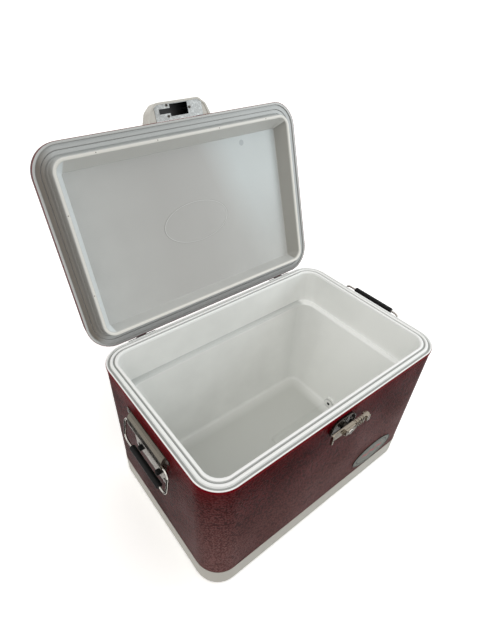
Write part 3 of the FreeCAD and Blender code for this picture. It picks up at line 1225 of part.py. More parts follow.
plate = new_body("hood_plate")
plate_low = S["hood_under"] + S["plate_rise"]
sk = sketch_on(plate, "plate_outline", "XY_Plane", plate_low)
under_hood(sk, S["plate_left"], S["plate_right"], lid_front - S["plate_back"], gap)
neck_mid = front_face - lever_in - S["lever_thick"] / 2 - S["hinge_deep"]
slit_near = neck_mid + S["lever_thick"] / 2 + S["slit_gap"]
slit_far = neck_mid - S["lever_thick"] / 2 - S["rib_high"] - S["slit_gap"]
window = [(hood_mid + S["window_left"], lid_front - S["window_near"]),
          (hood_mid + S["window_left"], slit_near),
          (hood_mid + S["slit_left"], slit_near),
          (hood_mid + S["slit_left"], slit_far),
          (hood_mid + S["window_left"], slit_far),
          (hood_mid + S["window_left"], lid_front - S["window_far"]),
          (hood_mid + S["window_right"], lid_front - S["window_far"]),
          (hood_mid + S["window_right"], lid_front - S["window_near"])]
draw_polygon(sk, window)
for along, out in posts:
    draw_circle(sk, hood_mid + along, lid_front - out, S["screw_shank"] + S["pin_fit"])
pad(plate, "plate_sheet", sk, S["plate_thick"])
place_on_lid(plate)
nodes.append(plate)

plate_screw = (S["plate_screw_head"], S["screw_head_thick"], S["screw_shank"], S["screw_reach"])
plate_screws = []
for i, (along, out) in enumerate(posts):
    plate_screws.append(round_head_fastener("plate_screw_%d_part" % i, hood_mid + along, lid_front - out,
                                            plate_low, X_AXIS, 180, plate_screw))
group = compound("plate_screws", plate_screws)
place_on_lid(group)
nodes.append(group)


# ---------------------------------------------------------------- hinges, own frame: hinge line
def slab(body, name, points, start, stop):
    """A prism along X from an outline in the YZ plane."""
    sketch = sketch_on(body, name + "_outline", "YZ_Plane", start)
    draw_polygon(sketch, points)
    pad(body, name, sketch, stop - start)


def round_slab(body, name, radius, start, stop):
    sketch = sketch_on(body, name + "_outline", "YZ_Plane", start)
    draw_circle(sketch, ZERO, ZERO, radius)
    pad(body, name, sketch, stop - start)


leaf_half = S["leaf_half_wide"]
belt_back = S["shell_half_deep"] - S["hinge_deep"]
leaf_back = belt_back + S["leaf_thick"]
lid_back_face = -S["lid_back"]
lid_leaf_back = lid_back_face + S["leaf_thick"]
knuckle = S["knuckle_radius"]
split = S["knuckle_split"] + S["knuckle_gap"]
body_leaf_low = -S["leaf_drop"]
body_screw_low = -S["hinge_screw_drop"]
neck_low = -S["leaf_neck"]
neck_top = -S["leaf_head"]
bite = S["neck_bite"]
bore = S["hinge_pin_radius"] + S["pin_fit"]
for side, tag in ((-1, "left"), (1, "right")):
    along = S["hinge_along"] * side
    leaf = new_body("hinge_leaf_body_" + tag)
    slab(leaf, "leaf_plate_body_" + tag,
         [(belt_back, body_leaf_low), (leaf_back, body_leaf_low),
          (leaf_back, neck_top), (belt_back, neck_top)], -leaf_half, leaf_half)
    for start, stop, mark in ((-leaf_half, -split, "a"), (split, leaf_half, "b")):
        slab(leaf, "leaf_neck_body_%s_%s" % (tag, mark),
             [(belt_back, neck_low), (leaf_back, neck_low), (bite, -bite), (ZERO, ZERO), (-bite, -bite),
              (belt_back, neck_top)], start, stop)
        round_slab(leaf, "knuckle_body_%s_%s" % (tag, mark), knuckle, start, stop)
    sk = sketch_on(leaf, "leaf_bore_body_" + tag, "YZ_Plane", -leaf_half)
    draw_circle(sk, ZERO, ZERO, bore)
    pocket(leaf, "leaf_bore_cut_body_" + tag, sk, leaf_half * 2, True)
    sk = sketch_on(leaf, "leaf_holes_body_" + tag, "XZ_Plane")
    for step in (-1, 0, 1):
        draw_circle(sk, S["hinge_screw_spread"] * step, body_screw_low, S["screw_shank"] + S["pin_fit"])
    pocket(leaf, "leaf_holes_cut_body_" + tag, sk, S["drill_depth"])
    place(leaf, along, S["hinge_deep"], S["hinge_high"])
    nodes.append(leaf)

    flap = new_body("hinge_leaf_lid_" + tag)
    slab(flap, "leaf_plate_lid_" + tag,
         [(lid_back_face, S["lid_leaf_foot"]), (lid_leaf_back, S["lid_leaf_foot"]),
          (lid_leaf_back, S["lid_leaf_top"]), (lid_back_face, S["lid_leaf_top"])],
         -leaf_half, leaf_half)
    middle = S["knuckle_split"]
    slab(flap, "leaf_neck_lid_" + tag,
         [(lid_back_face, S["lid_leaf_foot"] + S["leaf_thick"]), (-bite, bite), (ZERO, ZERO), (bite, bite),
          (lid_leaf_back, S["lid_leaf_foot"] + S["leaf_thick"])], -middle, middle)
    round_slab(flap, "knuckle_lid_" + tag, knuckle, -middle, middle)
    sk = sketch_on(flap, "leaf_bore_lid_" + tag, "YZ_Plane", -leaf_half)
    draw_circle(sk, ZERO, ZERO, bore)
    pocket(flap, "leaf_bore_cut_lid_" + tag, sk, leaf_half * 2, True)
    sk = sketch_on(flap, "leaf_holes_lid_" + tag, "XZ_Plane")
    for step in (-1, 0, 1):
        draw_circle(sk, S["hinge_screw_spread"] * step, hinge_screw_high, S["screw_shank"] + S["pin_fit"])
    pocket(flap, "leaf_holes_cut_lid_" + tag, sk, S["drill_depth"])
    place(flap, along, S["hinge_deep"], S["hinge_high"], LID_AXIS, S["lid_open_angle"])
    nodes.append(flap)

    hinge_pin = new_body("hinge_pin_" + tag)
    head = S["hinge_pin_head_thick"]
    round_slab(hinge_pin, "hinge_pin_shaft_" + tag, S["hinge_pin_radius"], -leaf_half - S["pin_fit"],
               leaf_half + S["pin_fit"])
    round_slab(hinge_pin, "hinge_pin_head_a_" + tag, S["hinge_pin_head"], -leaf_half - S["pin_fit"] - head,
               -leaf_half - S["pin_fit"])
    round_slab(hinge_pin, "hinge_pin_head_b_" + tag, S["hinge_pin_head"], leaf_half + S["pin_fit"],
               leaf_half + S["pin_fit"] + head)
    place(hinge_pin, along, S["hinge_deep"], S["hinge_high"])
    nodes.append(hinge_pin)

body_screws, lid_screws = [], []
for side, tag in ((-1, "left"), (1, "right")):
    for step in (-1, 0, 1):
        along = S["hinge_along"] * side + S["hinge_screw_spread"] * step
        body_screws.append(round_head_fastener(
            "hinge_screw_body_%s_%d" % (tag, step + 1), along, S["shell_half_deep"] + S["leaf_thick"],
            S["hinge_high"] + body_screw_low, X_AXIS, -90, small_screw))
        lid_screws.append(round_head_fastener(
            "hinge_screw_lid_%s_%d" % (tag, step + 1), along, lid_leaf_back, hinge_screw_high,
            X_AXIS, -90, small_screw))
nodes.append(compound("hinge_screws_body", body_screws))
group = compound("hinge_screws_lid", lid_screws)
place_on_lid(group)
nodes.append(group)

# ---------------------------------------------------------------- handles
# Bracket frame: belt face at pivot height, +X away from the cooler.
pivot_out = S["pivot_out"]
rivet_sizes = (S["rivet_head"], S["rivet_head_thick"], S["rivet_shank"], S["rivet_reach"])
for side, tag in ((-1, "left"), (1, "right")):
    bracket = new_body("handle_bracket_" + tag)
    sk = sketch_on(bracket, "bracket_plate_" + tag, "YZ_Plane")
    foot, head, ear = S["plate_half_foot"], S["plate_half_head"], S["plate_half_ear"]
    draw_polygon(sk, [(-foot, -S["plate_drop"]), (foot, -S["plate_drop"]), (head, S["ear_low"]),
                      (ear, S["ear_low"] + S["ear_slope"]), (ear, S["plate_top"]), (-ear, S["plate_top"]),
                      (-ear, S["ear_low"] + S["ear_slope"]), (-head, S["ear_low"])])
    pad(bracket, "bracket_sheet_" + tag, sk, S["plate_gauge"])
    sk = sketch_on(bracket, "cowl_outline_" + tag, "XZ_Plane", -S["cowl_half"])
    draw_polygon(sk, [(S["plate_gauge"] / 2, S["cowl_top"]),
                      (S["cowl_shoulder_out"], S["cowl_shoulder_high"]),
                      (S["cowl_brow_out"], S["cowl_brow_high"]), (S["cowl_out"], S["barrel_radius"]),
                      (S["cowl_out"], ZERO), (pivot_out, ZERO), (pivot_out, -S["barrel_radius"]),
                      (S["plate_gauge"] / 2, -S["barrel_radius"])])
    pad(bracket, "cowl_" + tag, sk, S["cowl_half"] * 2)
    sk = sketch_on(bracket, "barrel_outline_" + tag, "XZ_Plane", -S["cowl_half"])
    draw_circle(sk, pivot_out, ZERO, S["barrel_radius"])
    pad(bracket, "barrel_" + tag, sk, S["cowl_half"] * 2)

    def on_cowl_line(point):
        for out, high in ((S["cowl_shoulder_out"], S["cowl_shoulder_high"]),
                          (S["cowl_brow_out"], S["cowl_brow_high"]), (S["cowl_out"], S["barrel_radius"])):
            if abs(point.x - out.value) < NEAR and abs(point.z - high.value) < NEAR:
                return True
        return False

    fillet(bracket, "cowl_rounding_" + tag, S["cowl_round"], on_cowl_line)
    sk = sketch_on(bracket, "cowl_bore_" + tag, "XZ_Plane", -S["cowl_half"])
    draw_circle(sk, pivot_out, ZERO, S["rod_radius"] + S["pin_fit"])
    pocket(bracket, "cowl_bore_cut_" + tag, sk, S["cowl_half"] * 2, True)
    rivet_spots = []
    for way in (1, -1):
        rivet_spots.append((S["rivet_foot_along"] * way, -S["rivet_foot_drop"]))
        rivet_spots.append((S["rivet_ear_along"] * way, S["rivet_ear_high"]))
    sk = sketch_on(bracket, "rivet_holes_" + tag, "YZ_Plane", S["plate_gauge"])
    for along, high in rivet_spots:
        draw_circle(sk, along, high, S["rivet_shank"] + S["pin_fit"])
    pocket(bracket, "rivet_cut_" + tag, sk, S["plate_gauge"])
    face = S["shell_half_long"] * side
    if side > 0:
        place(bracket, face, ZERO, S["handle_high"])
    else:
        place(bracket, face, ZERO, S["handle_high"], Z_AXIS, dim(180))
    nodes.append(bracket)

    rivets = []
    for i, (along, high) in enumerate(rivet_spots):
        rivets.append(round_head_fastener(
            "rivet_%s_%d" % (tag, i), face + S["plate_gauge"] * side, along, S["handle_high"] + high,
            Y_AXIS, 90 * side, rivet_sizes))
    nodes.append(compound("handle_rivets_" + tag, rivets))

    pads = []
    for i in (-1, 1):
        peg = cylinder("bumper_%s_%d" % (tag, i + 1), S["bumper_radius"], S["bumper_high"],
                       face + S["plate_gauge"] * side, S["bumper_along"] * i,
                       S["handle_high"] - S["bumper_drop"], Y_AXIS, 90 * side)
        doc.recompute()
        rounded = doc.addObject("Part::Fillet", "bumper_round_%s_%d" % (tag, i + 1))
        rounded.Base = peg
        beyond = abs(face.value) + S["bumper_high"].value
        rim = [n for n, one in enumerate(peg.Shape.Edges, start=1)
               if all(abs(vertex.Point.x) > beyond for vertex in one.Vertexes)]
        rounded.Edges = [(n, S["bumper_round"].value, S["bumper_round"].value) for n in rim[:1]]
        pads.append(rounded)
    nodes.append(compound("handle_bumpers_" + tag, pads))

    bail = new_body("handle_bail_" + tag)
    path = sketch_on(bail, "bail_path_" + tag, "XY_Plane")
    wide, bend, drop, start = S["rod_half_wide"], S["rod_bend"], S["rod_drop"], S["rod_inner"]
    w, b, d, e = wide.value, bend.value, drop.value, start.value

    def bend_arc(cx, cy, start_angle):
        circle = Part.Circle(Vector(cx, cy, 0), Vector(0, 0, 1), b)
        return Part.ArcOfCircle(circle, math.radians(start_angle), math.radians(start_angle + 90))

    pieces = [
        Part.LineSegment(Vector(0, -e, 0), Vector(0, -w + b, 0)), bend_arc(b, -w + b, 180),
        Part.LineSegment(Vector(b, -w, 0), Vector(d - b, -w, 0)), bend_arc(d - b, -w + b, 270),
        Part.LineSegment(Vector(d, -w + b, 0), Vector(d, w - b, 0)), bend_arc(d - b, w - b, 0),
        Part.LineSegment(Vector(d - b, w, 0), Vector(b, w, 0)), bend_arc(b, w - b, 90),
        Part.LineSegment(Vector(0, w - b, 0), Vector(0, e, 0)),
    ]
    for piece in pieces:
        path.addGeometry(piece, False)
    for i in range(8):
        path.addConstraint(Sketcher.Constraint("Tangent", i, 2, i + 1, 1))
    for i in (0, 4, 8):
        path.addConstraint(Sketcher.Constraint("Vertical", i))
    for i in (2, 6):
        path.addConstraint(Sketcher.Constraint("Horizontal", i))
    for i in (3, 5, 7):
        path.addConstraint(Sketcher.Constraint("Equal", 1, i))
    index = path.addConstraint(Sketcher.Constraint("Radius", 1, b))
    bind(path, "Constraints[%d]" % index, bend)
    fix_coordinate(path, "DistanceX", 0, 1, ZERO)
    fix_coordinate(path, "DistanceX", 8, 2, ZERO)
    fix_coordinate(path, "DistanceY", 2, 1, -wide)
    fix_coordinate(path, "DistanceY", 6, 1, wide)
    fix_coordinate(path, "DistanceX", 4, 1, drop)
    fix_coordinate(path, "DistanceY", 0, 1, -start)
    fix_coordinate(path, "DistanceY", 8, 2, start)
    sk = sketch_on(bail, "bail_section_" + tag, "XZ_Plane", start)
    draw_circle(sk, ZERO, ZERO, S["rod_radius"])
    doc.recompute()
    pipe = bail.newObject("PartDesign::AdditivePipe", "bail_rod_" + tag)
    pipe.Profile = sk
    pipe.Spine = (path, ["Edge%d" % (i + 1) for i in range(len(pieces))])
    bail.Tip = pipe
    doc.recompute()

    grip = new_body("handle_grip_" + tag)
    sk = sketch_on(grip, "grip_outline_" + tag, "XZ_Plane", -(S["grip_half_long"] + S["grip_shift"]))
    draw_circle(sk, drop, ZERO, S["grip_radius"])
    pad(grip, "grip_tube_" + tag, sk, S["grip_half_long"] * 2)
    ends = (S["grip_shift"] + S["grip_half_long"], S["grip_shift"] - S["grip_half_long"])
    fillet(grip, "grip_round_" + tag, S["grip_round"],
           lambda point: min(abs(point.y - one.value) for one in ends) < NEAR)
    sk = sketch_on(grip, "grip_bore_" + tag, "XZ_Plane", -ends[0])
    draw_circle(sk, drop, ZERO, S["rod_radius"] + S["pin_fit"])
    pocket(grip, "grip_bore_cut_" + tag, sk, S["grip_half_long"] * 2, True)
    for piece in (bail, grip):
        x = face + pivot_out * side
        if side > 0:
            place(piece, x, ZERO, S["handle_high"], -Y_AXIS, S["right_angle"] - QUARTER)
        else:
            place(piece, x, ZERO, S["handle_high"], Y_AXIS, S["left_angle"] + QUARTER)
        nodes.append(piece)

# ---------------------------------------------------------------- fastener holes in the steel belt
hole = S["screw_shank"] + S["pin_fit"]
far_front = S["shell_half_deep"] + S["bead_proud"]
for side, tag in ((-1, "left"), (1, "right")):
    sk = sketch_on(shell, "belt_hinge_holes_" + tag, "XZ_Plane", -far_front)
    for step in (-1, 0, 1):
        draw_circle(sk, S["hinge_along"] * side + S["hinge_screw_spread"] * step,
                    S["hinge_high"] + body_screw_low, hole)
    pocket(shell, "belt_hinge_cut_" + tag, sk, S["drill_depth"])
    sk = sketch_on(shell, "belt_rivet_holes_" + tag, "YZ_Plane", S["shell_half_long"] * side)
    for along, high in rivet_spots:
        draw_circle(sk, along, S["handle_high"] + high, S["rivet_shank"] + S["pin_fit"])
    pocket(shell, "belt_rivet_cut_" + tag, sk, gauge * 2, side < 0)
sk = sketch_on(shell, "belt_latch_holes", "XZ_Plane", far_front)
for side in (-1, 1):
    draw_circle(sk, S["latch_along"] + S["cup_screw_along"] * side, S["latch_high"], hole)
pocket(shell, "belt_latch_cut", sk, S["drill_depth"])

# ---------------------------------------------------------------- check and write
doc.recompute()
faults = [thing.Name for thing in doc.Objects
          if "Invalid" in thing.State or "Error" in thing.State]
for node in nodes:
    shape = node.Shape
    sound = not shape.isNull() and shape.isValid()
    print("%-24s %s solids %d volume %.0f" % (node.Label, "ok" if sound else "BAD", len(shape.Solids),
                                             shape.Volume))
    if not sound:
        faults.append(node.Label)
if faults:
    raise RuntimeError("faulty: %s" % ", ".join(faults))
os.makedirs("parts", exist_ok=True)
for node in nodes:
    node.Shape.exportStep("parts/%s.step" % node.Label)
print(len(nodes), "nodes written")
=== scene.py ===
# %% [markdown]
# # A steel-belted ice chest, standing open
# The chest is a painted steel belt wrapped around a foam core. It stands in a plastic base tray and holds a
# white moulded liner, and its lid is a painted skin over a white moulded pan. The shapes come from the CAD
# model, which is loaded as a fixed frame. This script gives each of them its finish, paints light and shade
# and the small marks into their colours, and sets up the floor, the light and the camera. All lengths are
# metres.

# %% Load the frame
import math

import bmesh
import bpy
from mathutils import Matrix, Vector

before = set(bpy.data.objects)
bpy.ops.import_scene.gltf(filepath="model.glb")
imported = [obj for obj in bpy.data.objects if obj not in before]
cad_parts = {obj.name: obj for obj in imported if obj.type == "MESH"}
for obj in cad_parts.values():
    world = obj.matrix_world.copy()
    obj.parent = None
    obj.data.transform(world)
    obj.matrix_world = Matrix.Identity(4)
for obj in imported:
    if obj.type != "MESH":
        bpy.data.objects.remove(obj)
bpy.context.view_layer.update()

# %% [markdown]
# The camera looks down into the open chest from the front left corner, held a little above eye height for
# someone sitting. A camera starts out looking straight down with its top towards +Y. It is rolled about its
# own line of sight first, then tilted up, then turned to the side, so three plain angles place it.

# %% Camera
CAMERA_PLACE = Vector((-0.4802, -0.4591, 0.9591))
CAMERA_TURN = -38.626      # degrees about the upright, from looking along +Y
CAMERA_DOWN = 40.659       # degrees below the horizon
CAMERA_ROLL = 1.769        # degrees about the line of sight
CAMERA_LENS = 32.65        # millimetres, over a 36 mm wide picture
CAMERA_SHIFT = (0.0170, 0.0266)

camera_data = bpy.data.cameras.new("camera")
camera_data.sensor_fit = "HORIZONTAL"
camera_data.sensor_width = 36.0
camera_data.lens = CAMERA_LENS
camera_data.shift_x, camera_data.shift_y = CAMERA_SHIFT
camera_data.clip_start = 0.01
camera = bpy.data.objects.new("camera", camera_data)
bpy.context.scene.collection.objects.link(camera)
camera.matrix_world = (
    Matrix.Translation(CAMERA_PLACE)
    @ Matrix.Rotation(math.radians(CAMERA_TURN), 4, "Z")
    @ Matrix.Rotation(math.radians(90 - CAMERA_DOWN), 4, "X")
    @ Matrix.Rotation(math.radians(CAMERA_ROLL), 4, "Z")
)
bpy.context.scene.camera = camera
print("camera at", [round(v, 3) for v in CAMERA_PLACE])

# %% [markdown]
# Every finish starts from one Principled shader. Its plain numbers are set straight on the sockets, and what
# varies over the surface comes from small patterns that read the object's own coordinates, in metres. A few
# helpers keep each finish short: they add nodes, feed their inputs, and hand back what comes out.

# %% Helpers for finishes
def new_finish(name, colour, roughness, metallic=0.0, **sockets):
    """A material with one Principled shader. Extra sockets are named with _ for a space."""
    material = bpy.data.materials.new(name)
    material.use_nodes = True
    tree = material.node_tree
    shader = tree.nodes["Principled BSDF"]
    shader.inputs["Base Color"].default_value = (*colour, 1)
    shader.inputs["Roughness"].default_value = roughness
    shader.inputs["Metallic"].default_value = metallic
    for socket, value in sockets.items():
        shader.inputs[socket.replace("_", " ")].default_value = value
    return material, tree, shader


def add(tree, kind, inputs=None, **settings):
    """A node of that kind. Inputs may be numbers, colours or other nodes' outputs, by name or place."""
    node = tree.nodes.new("ShaderNode" + kind)
    for setting, value in settings.items():
        setattr(node, setting, value)
    for socket, value in (inputs or {}).items():
        if isinstance(value, bpy.types.NodeSocket):
            tree.links.new(value, node.inputs[socket])
        else:
            node.inputs[socket].default_value = value
    return node


def place(tree):
    """The object's own coordinates."""
    return add(tree, "TexCoord").outputs["Object"]


def noise(tree, at, per_metre, detail=2.0, roughness=0.5):
    """Soft clouds."""
    return add(tree, "TexNoise", {"Vector": at, "Scale": per_metre, "Detail": detail,
                                  "Roughness": roughness}).outputs["Fac"]


def cells(tree, at, per_metre, smooth):
    """Rounded cells, as the distance to each one's middle."""
    node = add(tree, "TexVoronoi", {"Vector": at, "Scale": per_metre}, feature="SMOOTH_F1")
    node.inputs["Smoothness"].default_value = smooth
    return node.outputs["Distance"]


def axes(tree, at):
    """The three coordinates of a place."""
    return add(tree, "SeparateXYZ", {0: at}).outputs[:3]


def between(tree, value, low, high, from_low=0.0, from_high=1.0):
    """Stretches a value's range onto another, held at the ends."""
    return add(tree, "MapRange", {"Value": value, "From Min": from_low, "From Max": from_high,
                                  "To Min": low, "To Max": high}).outputs["Result"]


def rises(tree, value, start, end):
    """Nothing below the start, one above the end."""
    return between(tree, value, 0.0, 1.0, start, end)


def falls(tree, value, start, end):
    """One below the start, nothing above the end."""
    return between(tree, value, 1.0, 0.0, start, end)


def blend(tree, factor, first, second):
    """Mixes two colours."""
    node = add(tree, "Mix", data_type="RGBA")
    for socket, value in ((node.inputs["Factor"], factor), (node.inputs[6], first), (node.inputs[7], second)):
        if isinstance(value, bpy.types.NodeSocket):
            tree.links.new(value, socket)
        elif isinstance(value, (int, float)):
            socket.default_value = value
        else:
            socket.default_value = (*value, 1)
    return node.outputs[2]


def bumps(tree, shader, height, depth):
    """Presses a height pattern into the surface; depth is in metres."""
    node = add(tree, "Bump", {"Height": height, "Distance": depth})
    tree.links.new(node.outputs["Normal"], shader.inputs["Normal"])


def sum_of(tree, first, second, operation="ADD"):
    """Two values put together by one step of arithmetic."""
    return add(tree, "Math", {0: first, 1: second}, operation=operation).outputs[0]


def turned(tree, value, operation):
    """One value put through one step of arithmetic."""
    return add(tree, "Math", {0: value}, operation=operation).outputs[0]


def both(tree, *masks):
    """The product of masks and numbers; masks alone give one where all of them are one."""
    result = masks[0]
    for mask in masks[1:]:
        result = sum_of(tree, result, mask, "MULTIPLY")
    return result


def within(tree, value, low, high):
    """One between two values, with hard ends."""
    return both(tree, sum_of(tree, value, low, "GREATER_THAN"), sum_of(tree, value, high, "LESS_THAN"))


def apart(tree, value, middle):
    """How far a value lies from a middle value, either way."""
    return turned(tree, sum_of(tree, value, middle, "SUBTRACT"), "ABSOLUTE")


def band(tree, value, middle, half, fade):
    """One inside a band about a middle value, fading to nothing over a distance outside it."""
    return falls(tree, apart(tree, value, middle), half, half + fade)


def length_of(tree, first, second):
    """The length of the slanted side over two square ones."""
    return sum_of(tree, sum_of(tree, both(tree, first, first), both(tree, second, second)), 0.5, "POWER")


def outside_by(tree, x, y, middle, half, corner):
    """How far a point lies outside a rounded rectangle; less than nothing inside it."""
    gaps = [sum_of(tree, apart(tree, value, centre), reach - corner, "SUBTRACT")
            for value, centre, reach in zip((x, y), middle, half)]
    round_part = length_of(tree, *(sum_of(tree, gap, 0.0, "MAXIMUM") for gap in gaps))
    flat_part = sum_of(tree, sum_of(tree, gaps[0], gaps[1], "MAXIMUM"), 0.0, "MINIMUM")
    return sum_of(tree, sum_of(tree, round_part, flat_part), corner, "SUBTRACT")


def around(tree, x, y, middle, half):
    """How far out a point lies on an oval: nothing in its middle, one on its line."""
    across = [sum_of(tree, sum_of(tree, value, centre, "SUBTRACT"), reach, "DIVIDE")
              for value, centre, reach in zip((x, y), middle, half)]
    return length_of(tree, *across), *across


def opened(material):
    """A finish's tree, its shader, the object's own place and the colour so far, to paint over."""
    tree = material.node_tree
    shader = tree.nodes["Principled BSDF"]
    return tree, shader, place(tree), shader.inputs["Base Color"].links[0].from_socket


print("helpers ready")

# %% [markdown]
# Some details lie on the lid, which stands open. Two distances place them there: one up the lid from the
# hinge line, and one into the lid from the plane of the hinge line. Both are sums of the object's own
# coordinates, so they stay true when the lid swings.

# %% Places on the lid
HINGE = Vector((0, 0.2009, 0.3452))
LID_ANGLE = math.radians(107.9)
UP_THE_LID = Vector((0, -math.cos(LID_ANGLE), math.sin(LID_ANGLE)))
INTO_THE_LID = Vector((0, math.sin(LID_ANGLE), math.cos(LID_ANGLE)))


def along(tree, at, direction):
    """How far a point lies from the hinge line in one direction."""
    dot = add(tree, "VectorMath", {0: at, 1: direction}, operation="DOT_PRODUCT").outputs["Value"]
    return sum_of(tree, dot, HINGE.dot(direction), "SUBTRACT")


print("lid opens", round(math.degrees(LID_ANGLE), 1), "degrees")

# %% [markdown]
# The belt and the lid skin are steel with a pebbled enamel, deep maroon. Each pebble is three or four
# millimetres across, so a cell pattern gives its bump. The lower part of the belt is painted paler and greyer
# as a painted reflection of the pale floor, and its front left corner carries a painted highlight, grained by
# the pebbles. The rolled bead at the top is smooth and deep red.

# %% Pebbled enamel
ENAMEL = (0.088, 0.0016, 0.0040)
ENAMEL_DARK = (0.016, 0.0005, 0.0010)
BEAD_RED = (0.170, 0.0008, 0.0060)
# painted reflection of the pale floor low on the belt, and the painted highlight on its front left corner
REFLECTED_HAZE = (0.210, 0.090, 0.083)
CLOUD = (0.3, 0.7)                    # the part of a noise's range that is used
PEBBLES = 270                         # cells in a metre
PEBBLE_DEPTH = 0.0006
PEBBLE_SMOOTH = 0.35
PEBBLE_SHADE = (0.15, 0.75)           # how dark the enamel is, from the pebbles' tops to their gaps
ENAMEL_CLOUDS = (-0.25, 0.25)         # what its clouds add to that
ENAMEL_GLOSS = (0.30, 0.46)           # roughness, from one cloud to the next
LID_EDGE = (0.0051, 0.0101)           # the lid skin's bare red edge, into the lid

HAZE_HEIGHT = (0.15, 0.315)           # from the most painted haze to none
HAZE_MOST = 0.42                      # how much of the colour is painted haze where there is most
HAZE_REACH = (-0.185, -0.06)          # along the end faces, from full painted haze
HAZE_BEHIND = 0.15                    # what is left of the painted haze behind that
HAZE_PATCHES = (0.7, 1.1)
CORNER_ALONG = (-0.285, -0.225)       # the front left corner's painted highlight, left to right
CORNER_DEEP = (-0.185, -0.135)        # and front to back
CORNER_FOOT = 0.10                    # its painted highlight is weaker above this height
CORNER_TOP = 0.45                     # what is left of it at the bead
CORNER_SHEEN = 0.52
HAZE_GRAIN, HAZE_GRAIN_AT = (1.40, 0.60), (0.15, 0.70)           # of the painted haze, from the pebbles' tops to their gaps
SHEEN_FLECK, SHEEN_FLECK_AT = (0.30, -0.22), (0.12, 0.60)      # added to it on the corner's painted highlight, likewise
BEAD_FOOT = 0.3436                    # height where the rolled bead starts
BEAD_SEAM = 0.0004                    # half the height over which its red sets in
BLUSH_DEEP = 0.045                    # how far below the bead its red still shows
BLUSH_MOST = 0.55
BLUSH_FRONT, BLUSH_AHEAD = (-0.20, -0.16), 0.35    # the front face has less of it


def lid_colours(tree, at, pebble, colour):
    """Adds the red edge of the lid skin."""
    edge = within(tree, along(tree, at, INTO_THE_LID), *LID_EDGE)
    return blend(tree, edge, colour, BEAD_RED), pebble


def belt_colours(tree, at, pebble, colour):
    """Adds the belt's painted reflection low down, the painted highlight on its front left corner, and its
    red bead, where the pebbles stop.
    """
    x, y, height = axes(tree, at)
    patchy = between(tree, noise(tree, at, 5, 4, 0.6), *HAZE_PATCHES, *CLOUD)
    low = between(tree, height, HAZE_MOST, 0.0, *HAZE_HEIGHT)
    hazy = both(tree, low, patchy, between(tree, y, 1.0, HAZE_BEHIND, *HAZE_REACH))
    # painted highlight on the front left corner, speckled by the pebbles
    corner = both(tree, falls(tree, x, *CORNER_ALONG), falls(tree, y, *CORNER_DEEP),
                  between(tree, height, 1.0, CORNER_TOP, CORNER_FOOT, BEAD_FOOT))
    hazy = sum_of(tree, hazy, both(tree, corner, CORNER_SHEEN))
    grained_haze = between(tree, pebble, *HAZE_GRAIN, *HAZE_GRAIN_AT)
    sheen_fleck = both(tree, corner, between(tree, pebble, *SHEEN_FLECK, *SHEEN_FLECK_AT))
    colour = blend(tree, sum_of(tree, both(tree, hazy, grained_haze), sheen_fleck), colour, REFLECTED_HAZE)
    blush = both(tree, between(tree, height, 0.0, BLUSH_MOST, BEAD_FOOT - BLUSH_DEEP, BEAD_FOOT),
                 between(tree, y, BLUSH_AHEAD, 1.0, *BLUSH_FRONT))
    colour = blend(tree, blush, colour, BEAD_RED)
    on_bead = rises(tree, height, BEAD_FOOT - BEAD_SEAM, BEAD_FOOT + BEAD_SEAM)
    off_bead = between(tree, on_bead, 1.0, 0.0)
    return blend(tree, on_bead, colour, BEAD_RED), both(tree, pebble, off_bead)


def pebbled_enamel(name, own_colours):
    """The enamel, with what one piece adds to its colour and its pebbles."""
    material, tree, shader = new_finish(name, ENAMEL, 0.34, Specular_IOR_Level=0.015)
    at = place(tree)
    pebble = cells(tree, at, PEBBLES, PEBBLE_SMOOTH)
    cloud = noise(tree, at, 9, 3)
    deep = rises(tree, pebble, *PEBBLE_SHADE)
    shade = sum_of(tree, deep, between(tree, cloud, *ENAMEL_CLOUDS, *CLOUD))
    colour, relief = own_colours(tree, at, pebble, blend(tree, shade, ENAMEL, ENAMEL_DARK))
    tree.links.new(colour, shader.inputs["Base Color"])
    tree.links.new(between(tree, cloud, *ENAMEL_GLOSS, *CLOUD), shader.inputs["Roughness"])
    bumps(tree, shader, relief, -PEBBLE_DEPTH)
    return material


lid_paint = pebbled_enamel("pebbled_enamel", lid_colours)
belt_paint = pebbled_enamel("belt_enamel", belt_colours)
print("enamel done")

# %% [markdown]
# The liner and the lid pan are moulded in white plastic with a very fine satin grain, the tray in a warmer
# grey. The lid pan's white is painted greyer than the liner's, as painted shade. Moulded plastic isn't one
# flat tone: it has faint clouds, and its gloss changes a little with them.

# %% Moulded plastics
GLOSS_SPREAD = 0.05                   # how far the roughness strays with the clouds


def moulded(name, colour, roughness, grain=1500, depth=0.00003, cloudiness=0.04, **sockets):
    """Plastic with faint clouds and a fine grain."""
    material, tree, shader = new_finish(name, colour, roughness, **sockets)
    at = place(tree)
    cloud = noise(tree, at, 14, 4)
    darker = [channel * (1 - cloudiness) for channel in colour]
    lighter = [min(1, channel * (1 + cloudiness)) for channel in colour]
    tree.links.new(blend(tree, between(tree, cloud, 0, 1, *CLOUD), darker, lighter),
                   shader.inputs["Base Color"])
    gloss = between(tree, cloud, roughness - GLOSS_SPREAD, roughness + GLOSS_SPREAD, *CLOUD)
    tree.links.new(gloss, shader.inputs["Roughness"])
    bumps(tree, shader, noise(tree, at, grain, 2, 0.6), depth)
    return material


